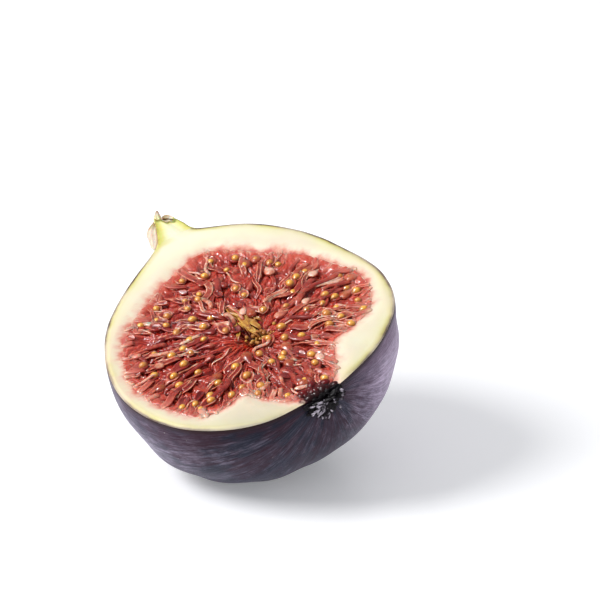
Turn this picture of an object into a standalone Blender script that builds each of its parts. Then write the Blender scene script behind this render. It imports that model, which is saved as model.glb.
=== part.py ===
"""Half of a fresh fig, cut lengthwise, at rest on its skin with the cut face up.

Metres, +Z up. The origin is the middle of the small flat that the fruit rests on.
Four pieces: the rind (skin and white flesh), the pulp (florets and seeds), the scales of the eye,
and the stalk with its bracts. Each is drawn lying flat in the fruit's own frame, in which the core runs
along +Y from the eye to the stalk and the knife's cut is the plane z = 0. An empty then leans the whole
half over to the way it rests.
"""

import math
import random

import bmesh
import bpy
from mathutils import Matrix, Vector
from mathutils.geometry import interpolate_bezier

# ---------------------------------------------------------------- driving dimensions
MM = 0.001
BELLY_RADIUS = 26.6 * MM
BELLY_HEIGHT = 27.0 * MM  # up the core, from the eye's end of the fruit
EYE_END = 0.6 * MM
NECK_RADIUS = 3.7 * MM
NECK_TOP = 62.4 * MM
SHOULDER_PULL = 22.0 * MM  # how far the belly's curve carries on up before it turns in
NECK_PULL = 1.9 * MM
SHEAR = 0.10  # the fruit is lopsided: its +X side sits higher up the core
NECK_LEAN = -0.9 * MM

ROUND_PULL = 0.5523  # of the radius: a cubic curve's handle for a quarter circle

RIBS = 17
RIB_HEIGHT = 0.22 * MM
STEPS_AROUND = 96
SHOULDER_STEPS = 15
BASE_STEPS = 9

GAP = 0.3 * MM  # between two pieces that meet
SHORTEST_EDGE = 0.02 * MM  # that a union may leave
ROLL = math.radians(16.5)  # the half leans over on its side by this
PITCH = math.radians(10.0)  # and its stalk end stands up by this
FLAT_DEPTH = 1.5 * MM  # of soft flesh pressed flat where the fruit rests

PULP_CENTRE = Vector((0.1, 25.4, 0.0)) * MM
PULP_RADIUS = 24.4 * MM
PULP_DEPTH = 21.8 * MM
# The pulp's outline swells towards the neck, draws in beside the eye and narrows to a throat at the eye:
# (direction, height, half width) of each swelling.
PULP_SWELLINGS = (
    (math.radians(86), 4.3 * MM, math.radians(17)),
    (math.radians(241), -6.6 * MM, math.radians(11)),
    (math.radians(278), -3.3 * MM, math.radians(17)),
    (math.radians(316), -7.4 * MM, math.radians(19)),
)
PULP_SPOKES = 48  # every second one is a furrow
PULP_TOP_RINGS = 7
PULP_BOTTOM_RINGS = 7
PULP_SINK = 0.15 * MM  # of the pulp's soft surface under the knife's plane
FURROW_DEPTH = 0.35 * MM
LUMP_HEIGHT = 0.20 * MM
HOLLOW_DEPTH = 1.3 * MM  # of the little hollow where the florets' tips meet
HOLLOW_REACH = 0.16  # of the pulp's reach

FLORETS = 96
SAC_FACETS = (5, 4)  # sides and rings
SEED_FACETS = (6, 4)
FLORET_SEED = 8
FLORET_LENGTH = (4.6 * MM, 7.2 * MM)
FLORET_WIDTH = 1.0 * MM  # half the sac's, before it tapers
FLORET_BEND = 0.9 * MM
INNERMOST_FLORET = 1.6 * MM  # from the pulp's centre
FLORET_MARGIN = 1.0 * MM  # between the outermost tails and the pulp's edge
SEED_SHARE = 0.75  # of the florets, that show their seed
SEED_SIZE = (0.74 * MM, 0.86 * MM, 0.68 * MM)  # half its width, length and height
SEED_LIFT = 0.55 * MM  # of its middle over the knife's plane

EYE_CENTRE = Vector((3.6, 1.5, 0.0)) * MM
EYE_RADIUS = 4.0 * MM
EYE_DEPTH = 2.6 * MM
EYE_BLUNTNESS = 0.45  # how far out of the pit the plug stands, of its depth
EYE_PIT_FACETS = (20, 12)
EYE_FACETS = (16, 10)
EYE_SCALE_RINGS = ((3.3 * MM, 9), (2.3 * MM, 7), (1.2 * MM, 4))  # (radius, scales) of each
EYE_SCALE_SIZE = (0.95 * MM, 0.42 * MM, 1.15 * MM)  # half its width, thickness and length
EYE_SCALE_FACETS = (6, 5)
EYE_SCALE_LIFT = (18, 40)  # degrees that a scale's tip stands up
EYE_SPREAD = 84  # degrees each way that the rings go round from the deepest point
EYE_SEED = 4

STALK_RADIUS = 3.2 * MM
STALK_TOP = 67.2 * MM
STALK_SIDES = 18
TORN_EDGE = 0.5 * MM
BRACT_THICKNESS = 0.6 * MM
BRACT_STEPS = 4
# (name, way it faces, half of its spread, (height, radius) at its root, the same at its tip)
BRACTS = (
    ("bract_left", math.radians(197), math.radians(34), (66.0 * MM, 2.4 * MM), (60.9 * MM, 5.7 * MM)),
    ("bract_spike", math.radians(230), math.radians(26), (64.6 * MM, 2.4 * MM), (70.6 * MM, 2.1 * MM)),
    ("bract_right", math.radians(338), math.radians(30), (64.6 * MM, 2.4 * MM), (69.2 * MM, 4.2 * MM)),
)

SKIN_COLOUR = (0.085, 0.055, 0.095, 1.0)
PULP_COLOUR = (0.52, 0.09, 0.07, 1.0)
EYE_COLOUR = (0.02, 0.015, 0.02, 1.0)
STALK_COLOUR = (0.42, 0.44, 0.10, 1.0)


# ---------------------------------------------------------------- helpers
def clear_scene():
    for obj in list(bpy.data.objects):
        bpy.data.objects.remove(obj, do_unlink=True)


def collection(name):
    made = bpy.data.collections.new(name)
    bpy.context.scene.collection.children.link(made)
    return made


def finish_material(name, colour, roughness):
    made = bpy.data.materials.new(name)
    made.use_nodes = True
    shader = made.node_tree.nodes["Principled BSDF"]
    shader.inputs["Base Color"].default_value = colour
    shader.inputs["Roughness"].default_value = roughness
    shader.inputs["Metallic"].default_value = 0.0
    return made


def object_from(bm, name, where):
    """An object holding the bmesh, which is freed."""
    mesh = bpy.data.meshes.new(name)
    bm.normal_update()
    bm.to_mesh(mesh)
    bm.free()
    made = bpy.data.objects.new(name, mesh)
    where.objects.link(made)
    return made


def cutter_from(bm, name, where):
    made = object_from(bm, name, where)
    made.hide_render = True
    made.display_type = "WIRE"
    return made


def box_cutter(name, size, centre, where):
    bm = bmesh.new()
    bmesh.ops.create_cube(bm, size=1.0)
    bmesh.ops.scale(bm, vec=size, verts=bm.verts)
    bmesh.ops.translate(bm, vec=centre, verts=bm.verts)
    return cutter_from(bm, name, where)


def cut(obj, cutter):
    modifier = obj.modifiers.new("cut_" + cutter.name, "BOOLEAN")
    modifier.operation = "DIFFERENCE"
    modifier.object = cutter


def baked(obj):
    """The object with its modifiers applied, and none left."""
    graph = bpy.context.evaluated_depsgraph_get()
    old = obj.data
    obj.data = bpy.data.meshes.new_from_object(obj.evaluated_get(graph))
    obj.modifiers.clear()
    bpy.data.meshes.remove(old)
    return obj


def fuse(obj, repeats):
    """Joins every object of a collection to this one as a single body, and removes the collection."""
    union = obj.modifiers.new("fuse", "BOOLEAN")
    union.operation = "UNION"
    union.operand_type = "COLLECTION"
    union.collection = repeats
    union.solver = "MANIFOLD"
    baked(obj)
    bm = bmesh.new()
    bm.from_mesh(obj.data)
    bmesh.ops.dissolve_degenerate(bm, dist=SHORTEST_EDGE, edges=bm.edges)  # the union's slivers
    bmesh.ops.triangulate(bm, faces=bm.faces)
    bm.to_mesh(obj.data)
    bm.free()
    for piece in list(repeats.objects):
        bpy.data.objects.remove(piece, do_unlink=True)
    bpy.data.collections.remove(repeats)


def smoothstep(low, high, value):
    t = min(max((value - low) / (high - low), 0.0), 1.0)
    return t * t * (3.0 - 2.0 * t)


def sphere_bmesh(sides, rings):
    bm = bmesh.new()
    bmesh.ops.create_uvsphere(bm, u_segments=sides, v_segments=rings, radius=1.0)
    return bm


# ---------------------------------------------------------------- rind
def fruit_outline():
    """The whole fruit's half outline from the neck down to the eye, as (radius, 0, height up the core)."""
    neck = Vector((NECK_RADIUS, 0, NECK_TOP))
    belly = Vector((BELLY_RADIUS, 0, BELLY_HEIGHT))
    eye = Vector((0, 0, EYE_END))
    shoulder = interpolate_bezier(
        neck, neck - Vector((0, 0, NECK_PULL)), belly + Vector((0, 0, SHOULDER_PULL)), belly, SHOULDER_STEPS
    )
    base = interpolate_bezier(
        belly,
        belly - Vector((0, 0, ROUND_PULL * (BELLY_HEIGHT - EYE_END))),
        eye + Vector((ROUND_PULL * BELLY_RADIUS, 0, 0)),
        eye,
        BASE_STEPS,
    )
    return [Vector((0, 0, NECK_TOP))] + shoulder + base[1:]


def grown_shape(point):
    """Where a point of the turned fruit, whose core is +Y, grew: ribbed, lopsided, with a leaning neck."""
    x, y, z = point
    around = math.atan2(z, x)
    on_shoulder = smoothstep(0.0, BELLY_HEIGHT, y) * (1 - smoothstep(NECK_TOP - 3 * MM, NECK_TOP, y))
    wave = math.cos(RIBS * around + 0.9 * math.sin(3 * around) + 0.5)
    radius = math.hypot(x, z)
    # The closed top and the eye keep still, where the radius is nothing.
    ribbed = radius + RIB_HEIGHT * wave * on_shoulder * min(radius / BELLY_RADIUS * 3, 1.0)
    scale = ribbed / radius if radius > 0 else 1.0
    lean = NECK_LEAN * smoothstep(NECK_TOP - 14 * MM, NECK_TOP, y)
    return Vector((x * scale + lean, y + SHEAR * x, z * scale))


def whole_fruit(where):
    """The uncut fruit: its outline turned about the core."""
    outline = fruit_outline()
    mesh = bpy.data.meshes.new("rind")
    mesh.from_pydata(outline, [(i, i + 1) for i in range(len(outline) - 1)], [])
    made = bpy.data.objects.new("rind", mesh)
    where.objects.link(made)
    screw = made.modifiers.new("turn", "SCREW")
    screw.steps = STEPS_AROUND
    screw.render_steps = STEPS_AROUND
    screw.use_merge_vertices = True
    screw.merge_threshold = 0.00001
    bpy.context.view_layer.update()
    baked(made)
    half_step = math.pi / STEPS_AROUND  # keeps every point off the knife's plane
    made.data.transform(Matrix.Rotation(math.radians(-90), 4, "X") @ Matrix.Rotation(half_step, 4, "Z"))
    for vertex in made.data.vertices:
        vertex.co = grown_shape(vertex.co)
    return made


def knife_cutter(name, where):
    """All that lies over the cut plane."""
    size = 200 * MM
    return box_cutter(name, (size, size, size), (0, 0, size / 2), where)


def eye_pit_cutter(where):
    """The hollow at the eye's end that the scales stand in."""
    bm = sphere_bmesh(*EYE_PIT_FACETS)
    wide = EYE_RADIUS + 2 * GAP
    bmesh.ops.scale(bm, vec=(wide, EYE_DEPTH + 2 * GAP, wide), verts=bm.verts)
    bmesh.ops.translate(bm, vec=EYE_CENTRE, verts=bm.verts)
    return cutter_from(bm, "eye_pit", where)


def make_rind(parts, cutters, pulp_room):
    rind = whole_fruit(parts)
    for cutter in (knife_cutter("knife", cutters), pulp_room, eye_pit_cutter(cutters)):
        cut(rind, cutter)
    return rind


# ---------------------------------------------------------------- pulp
def pulp_reach(direction):
    """How far the pulp reaches from its centre in a direction of the cut plane."""
    reach = PULP_RADIUS
    for middle, height, half_width in PULP_SWELLINGS:
        away = (direction - middle + math.pi) % (2 * math.pi) - math.pi
        reach += height * math.exp(-((away / half_width) ** 2))
    return reach


def pulp_relief(direction, share):
    """Height of the pulp's soft surface: furrows between florets, low lumps, and the hollow in the middle."""
    furrows = FURROW_DEPTH * math.cos(PULP_SPOKES / 2 * direction) * smoothstep(0.1, 0.5, share)
    lumps = LUMP_HEIGHT * math.sin(7 * direction - 9 * share)
    hollow = -HOLLOW_DEPTH * math.exp(-((share / HOLLOW_REACH) ** 2))
    edge = 1 - smoothstep(0.85, 1.0, share)
    return (furrows + lumps) * edge + hollow


def pulp_bed(where, name, grown=0.0):
    """The pulp without its florets: a bowl under the cut plane, closed by its soft top. It can be grown."""
    bm = sphere_bmesh(PULP_SPOKES, PULP_TOP_RINGS + PULP_BOTTOM_RINGS)
    for vertex in bm.verts:
        direction = math.atan2(vertex.co.y, vertex.co.x)
        share = math.hypot(vertex.co.x, vertex.co.y)
        if vertex.co.z > 1e-6:
            share = 1 - math.acos(min(share, 1.0)) / (math.pi / 2)
            height = pulp_relief(direction, share) - PULP_SINK
        else:
            height = vertex.co.z * PULP_DEPTH - PULP_SINK
        reach = pulp_reach(direction) * share
        vertex.co = PULP_CENTRE + Vector((reach * math.cos(direction), reach * math.sin(direction), height))
    if grown:
        bm.normal_update()
        clear = 2 * MM
        shifts = [(vertex, vertex.normal * grown) for vertex in bm.verts]
        for vertex, shift in shifts:
            vertex.co += shift
            if vertex.co.z > -clear:
                vertex.co.z += clear  # the top of the room stands clear over the cut
        return cutter_from(bm, name, where)
    return object_from(bm, name, where)


def floret_sites():
    """The florets, in a sunflower's spiral: (direction, distance of the inner end, length, bend, has a seed)."""
    rng = random.Random(FLORET_SEED)
    golden_angle = math.pi * (3 - math.sqrt(5))
    for k in range(FLORETS):
        direction = k * golden_angle + rng.uniform(-0.08, 0.08)
        length = rng.uniform(*FLORET_LENGTH)
        bend = rng.uniform(-FLORET_BEND, FLORET_BEND)
        shows_seed = rng.random() < SEED_SHARE
        beside = 0.09  # radians: the outline is also kept clear of to either side
        reach = min(pulp_reach(direction + turn) for turn in (-beside, 0.0, beside))
        room = reach - length - INNERMOST_FLORET - FLORET_MARGIN
        inner = INNERMOST_FLORET + math.sqrt((k + 0.5) / FLORETS) * room
        yield direction, inner, length, bend, shows_seed


def floret_frame(direction, inner):
    """The point and the outward and sideways directions of a floret that starts here."""
    outward = Vector((math.cos(direction), math.sin(direction), 0))
    sideways = Vector((-outward.y, outward.x, 0))
    return PULP_CENTRE + outward * inner, outward, sideways


def floret_sac(site, number, where):
    """A fleshy sac: round at its inner end, tapering outwards to a bent tail that sinks into the pulp."""
    direction, inner, length, bend, _ = site
    start, outward, sideways = floret_frame(direction, inner)
    bm = sphere_bmesh(*SAC_FACETS)
    for vertex in bm.verts:
        along = (vertex.co.z + 1) / 2
        taper = 1.15 - 0.75 * along
        across = vertex.co.x * FLORET_WIDTH * taper + bend * along**2
        up = vertex.co.y * FLORET_WIDTH * 0.8 * taper + 0.15 * MM - 0.55 * MM * along**2
        vertex.co = start + outward * length * along + sideways * across + Vector((0, 0, up))
    return object_from(bm, f"floret_{number}", where)


def floret_seed(site, number, where):
    """A seed in the sac's round end, half out of it."""
    direction, inner, _, _, _ = site
    start, outward, sideways = floret_frame(direction, inner)
    bm = sphere_bmesh(*SEED_FACETS)
    bmesh.ops.scale(bm, vec=SEED_SIZE, verts=bm.verts)
    bmesh.ops.rotate(bm, matrix=Matrix.Rotation(direction - math.pi / 2, 3, "Z"), verts=bm.verts)
    bmesh.ops.translate(bm, vec=start + outward * 0.5 * MM + Vector((0, 0, SEED_LIFT)), verts=bm.verts)
    return object_from(bm, f"seed_{number}", where)


def make_pulp(parts):
    pulp = pulp_bed(parts, "pulp")
    repeats = collection("florets")
    for number, site in enumerate(floret_sites()):
        floret_sac(site, number, repeats)
        if site[-1]:
            floret_seed(site, number, repeats)
    bpy.context.view_layer.update()
    fuse(pulp, repeats)
    return pulp


# ---------------------------------------------------------------- eye
def eye_scale(name, ring, turn, lift, where):
    """One pointed scale. It leans in over the eye from its ring."""
    bm = sphere_bmesh(*EYE_SCALE_FACETS)
    width, thickness, length = EYE_SCALE_SIZE
    for vertex in bm.verts:
        pointed = 1 - 0.55 * max(vertex.co.z, 0.0)
        vertex.co = Vector((vertex.co.x * width * pointed, vertex.co.y * thickness, vertex.co.z * length))
    bmesh.ops.rotate(bm, matrix=Matrix.Rotation(math.radians(90) + lift, 3, "X"), verts=bm.verts)
    bmesh.ops.rotate(bm, matrix=Matrix.Rotation(math.radians(-90), 3, "X"), verts=bm.verts)
    bmesh.ops.translate(bm, vec=(0, -0.35 * MM, -ring), verts=bm.verts)
    bmesh.ops.rotate(bm, matrix=Matrix.Rotation(turn, 3, "Y"), verts=bm.verts)
    bmesh.ops.translate(bm, vec=EYE_CENTRE - Vector((0, 0.75 * MM, 0)), verts=bm.verts)
    return object_from(bm, name, where)


def make_eye(parts, cutters):
    """The eye's half plug, with its scales in rings on the outside."""
    bm = sphere_bmesh(*EYE_FACETS)
    bmesh.ops.scale(bm, vec=(EYE_RADIUS, EYE_DEPTH, EYE_RADIUS), verts=bm.verts)
    for vertex in bm.verts:
        vertex.co.y = max(vertex.co.y, -EYE_BLUNTNESS * EYE_DEPTH)
    bmesh.ops.translate(bm, vec=EYE_CENTRE, verts=bm.verts)
    plug = object_from(bm, "eye_scales", parts)
    cut(plug, knife_cutter("eye_knife", cutters))
    bpy.context.view_layer.update()
    baked(plug)
    rng = random.Random(EYE_SEED)
    repeats = collection("scales")
    for ring, count in EYE_SCALE_RINGS:
        for k in range(count):
            share = (k + 0.5) / count
            turn = math.radians(EYE_SPREAD * (2 * share - 1) + rng.uniform(-4, 4))
            lift = math.radians(rng.uniform(*EYE_SCALE_LIFT))
            eye_scale(f"scale_{ring:.4f}_{k}", ring, turn, lift, repeats)
    bpy.context.view_layer.update()
    fuse(plug, repeats)
    return plug


# ---------------------------------------------------------------- stalk
def bract(name, middle, spread, root, tip, where):
    """A dry flap on the stalk: a pointed sheet, wrapped round the stalk, from its root to its tip."""
    bm = bmesh.new()
    bmesh.ops.create_grid(bm, x_segments=BRACT_STEPS, y_segments=BRACT_STEPS, size=1.0)
    for vertex in bm.verts:
        along = (vertex.co.y + 1) / 2
        height = root[0] + (tip[0] - root[0]) * along
        radius = root[1] + (tip[1] - root[1]) * along**1.4
        turn = middle + spread * (1 - 0.85 * along**1.5) * vertex.co.x
        vertex.co = Vector((NECK_LEAN + radius * math.cos(turn), height, radius * math.sin(turn)))
    made = object_from(bm, name, where)
    thicken = made.modifiers.new("thickness", "SOLIDIFY")
    thicken.thickness = BRACT_THICKNESS
    thicken.offset = 0.0
    bpy.context.view_layer.update()
    return baked(made)


def make_stalk(parts, cutters):
    """The stub of the stalk, halved by the same cut, with three bracts."""
    bottom = NECK_TOP + GAP
    bm = bmesh.new()
    bmesh.ops.create_cone(
        bm,
        cap_ends=True,
        cap_tris=True,
        segments=STALK_SIDES,
        radius1=STALK_RADIUS,
        radius2=STALK_RADIUS * 0.8,
        depth=STALK_TOP - bottom,
    )
    bmesh.ops.rotate(bm, matrix=Matrix.Rotation(math.radians(-90), 3, "X"), verts=bm.verts)
    bmesh.ops.translate(bm, vec=(NECK_LEAN, (STALK_TOP + bottom) / 2, 0), verts=bm.verts)
    for vertex in bm.verts:
        if vertex.co.y > STALK_TOP - 0.1 * MM:
            turn = math.atan2(vertex.co.z, vertex.co.x - NECK_LEAN)
            vertex.co.y += TORN_EDGE * (math.sin(5 * turn) + 0.8 * math.cos(2 * turn))
        else:
            vertex.co.y += SHEAR * (vertex.co.x - NECK_LEAN)
    stalk = object_from(bm, "stalk", parts)
    repeats = collection("bracts")
    for name, middle, spread, root, tip in BRACTS:
        bract(name, middle, spread, root, tip, repeats)
    fuse(stalk, repeats)
    cut(stalk, knife_cutter("stalk_knife", cutters))
    return stalk


# ---------------------------------------------------------------- the half fig
def rest_on_flat(pose, parts, cutters):
    """Leans the half over and lowers it until FLAT_DEPTH of its skin is under the table, which is cut off."""
    lean = Matrix.Rotation(PITCH, 4, "X") @ Matrix.Rotation(-ROLL, 4, "Y")
    pose.rotation_euler = lean.to_euler()
    bpy.context.view_layer.update()
    rind = parts["rind"]
    graph = bpy.context.evaluated_depsgraph_get()
    points = [lean @ vertex.co for vertex in rind.evaluated_get(graph).data.vertices]
    lowest = min(point.z for point in points)
    pressed = [point for point in points if point.z < lowest + FLAT_DEPTH]
    middle_x = (min(p.x for p in pressed) + max(p.x for p in pressed)) / 2
    middle_y = (min(p.y for p in pressed) + max(p.y for p in pressed)) / 2
    pose.location = (-middle_x, -middle_y, -lowest - FLAT_DEPTH)
    size = 100 * MM
    cut(rind, box_cutter("table", (size, size, size), (0, 0, -size / 2), cutters))


def shade(obj):
    obj.data.shade_smooth()
    obj.data.set_sharp_from_angle(angle=math.radians(40))


def main():
    clear_scene()
    fig = collection("fresh_fig_half")
    cutters = collection("cutters")
    pose = bpy.data.objects.new("resting_pose", None)
    fig.objects.link(pose)

    rind = make_rind(fig, cutters, pulp_bed(cutters, "pulp_room", GAP))
    pieces = {
        "rind": (rind, finish_material("rind_skin", SKIN_COLOUR, 0.5)),
        "pulp": (make_pulp(fig), finish_material("pulp_flesh", PULP_COLOUR, 0.25)),
        "eye_scales": (make_eye(fig, cutters), finish_material("eye_black", EYE_COLOUR, 0.6)),
        "stalk": (make_stalk(fig, cutters), finish_material("stalk_green", STALK_COLOUR, 0.55)),
    }
    for piece, finish in pieces.values():
        piece.data.materials.clear()
        piece.data.materials.append(finish)
        piece.parent = pose
        shade(piece)
    for cutter in list(cutters.objects):
        cutter.parent = pose
    rest_on_flat(pose, {name: piece for name, (piece, _) in pieces.items()}, cutters)


main()
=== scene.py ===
# %% [markdown]
# # Half a fresh fig, finished
#
# The packed model has the true size and form of the half fruit, but it is faceted and plain. This lesson
# gives each piece the surface that a ripe, dark fig shows when a knife has just opened it: a bloomed skin,
# cream flesh, a wet red pulp full of florets and golden seeds, a black eye and a torn green stalk.

# %% Load the packed model
import math
import random

import bmesh
import bpy
import numpy as np
from mathutils import Matrix, Vector, noise


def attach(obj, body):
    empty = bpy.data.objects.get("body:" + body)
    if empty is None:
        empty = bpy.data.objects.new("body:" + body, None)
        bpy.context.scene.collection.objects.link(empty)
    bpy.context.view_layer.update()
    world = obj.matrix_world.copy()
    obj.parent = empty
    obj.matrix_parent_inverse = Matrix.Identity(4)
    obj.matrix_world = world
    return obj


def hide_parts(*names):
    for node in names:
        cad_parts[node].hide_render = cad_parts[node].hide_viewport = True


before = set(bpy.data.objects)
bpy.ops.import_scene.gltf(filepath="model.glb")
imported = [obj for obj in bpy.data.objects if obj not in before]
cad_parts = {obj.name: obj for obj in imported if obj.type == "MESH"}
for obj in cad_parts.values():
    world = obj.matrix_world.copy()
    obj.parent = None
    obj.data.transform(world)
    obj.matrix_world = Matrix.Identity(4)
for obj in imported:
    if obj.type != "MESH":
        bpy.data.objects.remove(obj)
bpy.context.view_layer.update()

# %% [markdown]
# ## The fruit's own axes
#
# A fig is easiest to describe lying flat: the core along +Y from the eye to the stalk, and the knife's cut
# at z = 0. The packed half leans over the way it rests. So shapes are drawn flat, in millimetres, and one
# function leans them over. The place of that flat drawing is read back from the packed solids, so nothing
# is fitted by eye.

# %% Measure where the fruit lies
MM = 0.001
ROLL = math.radians(16.5)  # the cut leans this much to one side
PITCH = math.radians(10.0)  # and the stalk's end is raised this much
LEAN = np.array(Matrix.Rotation(PITCH, 3, "X") @ Matrix.Rotation(-ROLL, 3, "Y"))

NECK_RADIUS = 3.7
NECK_TOP = 62.4  # up the core from its start
SHEAR = 0.10  # the +X side of the fruit sits higher up the core
PULP_X = 0.1  # the middle of the pulp, off the core


def upright(node):
    """A packed node's points with the lean taken out, in millimetres."""
    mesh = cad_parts[node].data
    points = np.empty(len(mesh.vertices) * 3)
    mesh.vertices.foreach_get("co", points)
    return points.reshape(-1, 3) @ LEAN / MM


rind_points, pulp_points = upright("rind"), upright("pulp")
CORE_START = np.array(
    [
        (pulp_points[:, 0].min() + pulp_points[:, 0].max()) / 2 - PULP_X,
        rind_points[:, 1].max() - NECK_TOP - SHEAR * NECK_RADIUS,
        rind_points[:, 2].max(),
    ]
)


def placed(points):
    """Points of the flat drawing, in millimetres, where they are on the resting fruit, in metres."""
    return (points + CORE_START) @ LEAN.T * MM


def drawn(points):
    """The other way: resting points, in metres, back in the flat drawing."""
    return points @ LEAN / MM - CORE_START


print("the core starts at, mm:", (placed(np.zeros(3)) / MM).round(2))

# %% [markdown]
# ## Small formulas
#
# Organic surfaces are made here as grids of points worked out by formulas. Sculpting would leave the size
# of a rib or a fold to the hand, and a formula states it. `ease` is the soft step that most of the formulas
# use, and `bumps` is smooth noise.


# %% Small formulas
def ease(low, high, value):
    """0 at low, 1 at high, and a soft step between them."""
    t = np.clip((value - low) / (high - low), 0.0, 1.0)
    return t * t * (3.0 - 2.0 * t)


def bumps(points, size, seed=0.0):
    """Smooth noise from -1 to 1 at each point, with lumps about this size."""
    flat = (points / size + seed).reshape(-1, 3).tolist()
    return np.array([noise.noise(point) for point in flat]).reshape(points.shape[:-1])


def flat_points(x, y, z=0.0):
    """A grid of points from a grid, a row or a number for each axis."""
    return np.stack(np.broadcast_arrays(x, y, z), -1)


print("ease from 0 to 1:", ease(0.0, 1.0, np.linspace(0.0, 1.0, 5)).round(2))

# %% [markdown]
# ## A piece made of grids
#
# `Piece` gathers grids, welds the seams where their borders meet, and makes one object of them that rides
# on the packed body. A grid can also carry a value for each point, such as its distance from the skin. The
# finish reads these values, so that a colour follows the fruit's own layers and needs no picture.

# %% A piece made of grids
WELD = 0.002  # points nearer to each other than this become one, mm


class Piece:
    """One object, gathered from grids of points that share their borders."""

    def __init__(self, name):
        self.name = name
        self.points, self.faces, self.finish, self.values = [], [], [], {}
        self.count = 0

    def add(self, grid, closed=False, finish=0, **values):
        """Adds a grid of points. closed joins its last column to its first."""
        rows, columns = grid.shape[:2]
        row = np.arange(rows - 1)[:, None]
        column = np.arange(columns if closed else columns - 1)[None, :]
        first = self.count + row * columns + column
        second = self.count + row * columns + (column + 1) % columns
        faces = np.stack([first, second, second + columns, first + columns], -1).reshape(-1, 4)
        self.points.append(grid.reshape(-1, 3))
        self.faces.append(faces)
        self.finish.append(np.full(len(faces), finish))
        for name, value in values.items():
            width = grid.shape if np.ndim(value) == 3 else grid.shape[:2]
            carried = np.broadcast_to(value, width).reshape(rows * columns, -1)
            self.values.setdefault(name, []).append(carried)
        self.count += rows * columns

    def make(self, finishes, stands_for=()):
        """Makes and welds the object, fastens it to the root body, and hides the packed nodes it stands
        for.
        """
        mesh = bpy.data.meshes.new(self.name)
        points = placed(np.concatenate(self.points))
        mesh.from_pydata(points.tolist(), [], np.concatenate(self.faces).tolist())
        mesh.polygons.foreach_set("material_index", np.concatenate(self.finish).astype(np.int32))
        for name, parts in self.values.items():
            column = np.concatenate(parts)
            kind, key = ("FLOAT", "value") if column.shape[1] == 1 else ("FLOAT_VECTOR", "vector")
            carried = mesh.attributes.new(name, kind, "POINT")
            carried.data.foreach_set(key, column.astype(np.float32).ravel())
        bm = bmesh.new()
        bm.from_mesh(mesh)
        bmesh.ops.remove_doubles(bm, verts=bm.verts, dist=WELD * MM)
        bmesh.ops.recalc_face_normals(bm, faces=bm.faces)
        bm.to_mesh(mesh)
        bm.free()
        mesh.shade_smooth()
        made = bpy.data.objects.new(self.name, mesh)
        bpy.context.scene.collection.objects.link(made)
        for finish in finishes:
            mesh.materials.append(finish)
        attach(made, "root")
        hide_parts(*stands_for)
        mesh.calc_loop_triangles()
        print(f"{self.name}: {len(mesh.loop_triangles)} triangles")


print("points are welded within, mm:", WELD)

# %% [markdown]
# ## A finish made of nodes
#
# Each finish is a Principled shader fed by a few nodes. Wiring them by hand in the editor works too, but it
# can't be read back as text. Each helper here adds a node or two and returns the output, so that the
# next one can take it in.


# %% A finish made of nodes
class Material:
    """One material and its nodes. Values for the shader's sockets are given by name."""

    def __init__(self, name, **sockets):
        self.material = bpy.data.materials.new(name)
        self.material.use_nodes = True
        self.tree = self.material.node_tree
        self.shader = self.tree.nodes["Principled BSDF"]
        for socket, value in sockets.items():
            self.shader.inputs[socket.replace("_", " ")].default_value = value

    def node(self, kind, **inputs):
        made = self.tree.nodes.new(kind)
        for name, value in inputs.items():
            self.feed(made.inputs[name], value)
        return made

    def feed(self, socket, value):
        """Links an output to a socket, or sets the socket to a number."""
        if isinstance(value, bpy.types.NodeSocket):
            self.tree.links.new(value, socket)
        else:
            socket.default_value = value

    def value(self, name):
        """A number that the mesh carries at its points."""
        made = self.tree.nodes.new("ShaderNodeAttribute")
        made.attribute_name = name
        return made.outputs["Fac"]

    def vector(self, name):
        made = self.tree.nodes.new("ShaderNodeAttribute")
        made.attribute_name = name
        return made.outputs["Vector"]

    def place(self, vector=None, scale=(1, 1, 1)):
        """A stretched copy of the coordinates: the object's own, in metres, unless others are given."""
        if vector is None:
            vector = self.tree.nodes.new("ShaderNodeTexCoord").outputs["Object"]
        return self.node("ShaderNodeMapping", Vector=vector, Scale=scale).outputs["Vector"]

    def noise(self, vector, scale=1.0, detail=3.0, roughness=0.5):
        """Smooth noise, from 0 to 1, with more small lumps the higher the detail."""
        made = self.node(
            "ShaderNodeTexNoise", Vector=vector, Scale=scale, Detail=detail, Roughness=roughness
        )
        return made.outputs["Fac"]

    def spots(self, vector, scale=1.0):
        """Distance to the nearest of many scattered points."""
        return self.node("ShaderNodeTexVoronoi", Vector=vector, Scale=scale).outputs["Distance"]

    def math(self, operation, first, second=0.5):
        made = self.tree.nodes.new("ShaderNodeMath")
        made.operation = operation
        self.feed(made.inputs[0], first)
        self.feed(made.inputs[1], second)
        return made.outputs[0]


print("helpers that add a node:", ", ".join(name for name in vars(Material) if name[0] != "_"))

# %% [markdown]
# ## A finish that is a recipe
#
# `Finish` adds the steps that a recipe is made of: ease a value from one range into another, stir in
# noise, look the colour up on a ramp, and lay another colour over it.

# %% A finish that is a recipe
SIDES = (-0.016, 0.018)  # places on X, in metres, between which the flanks' colours change


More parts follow.
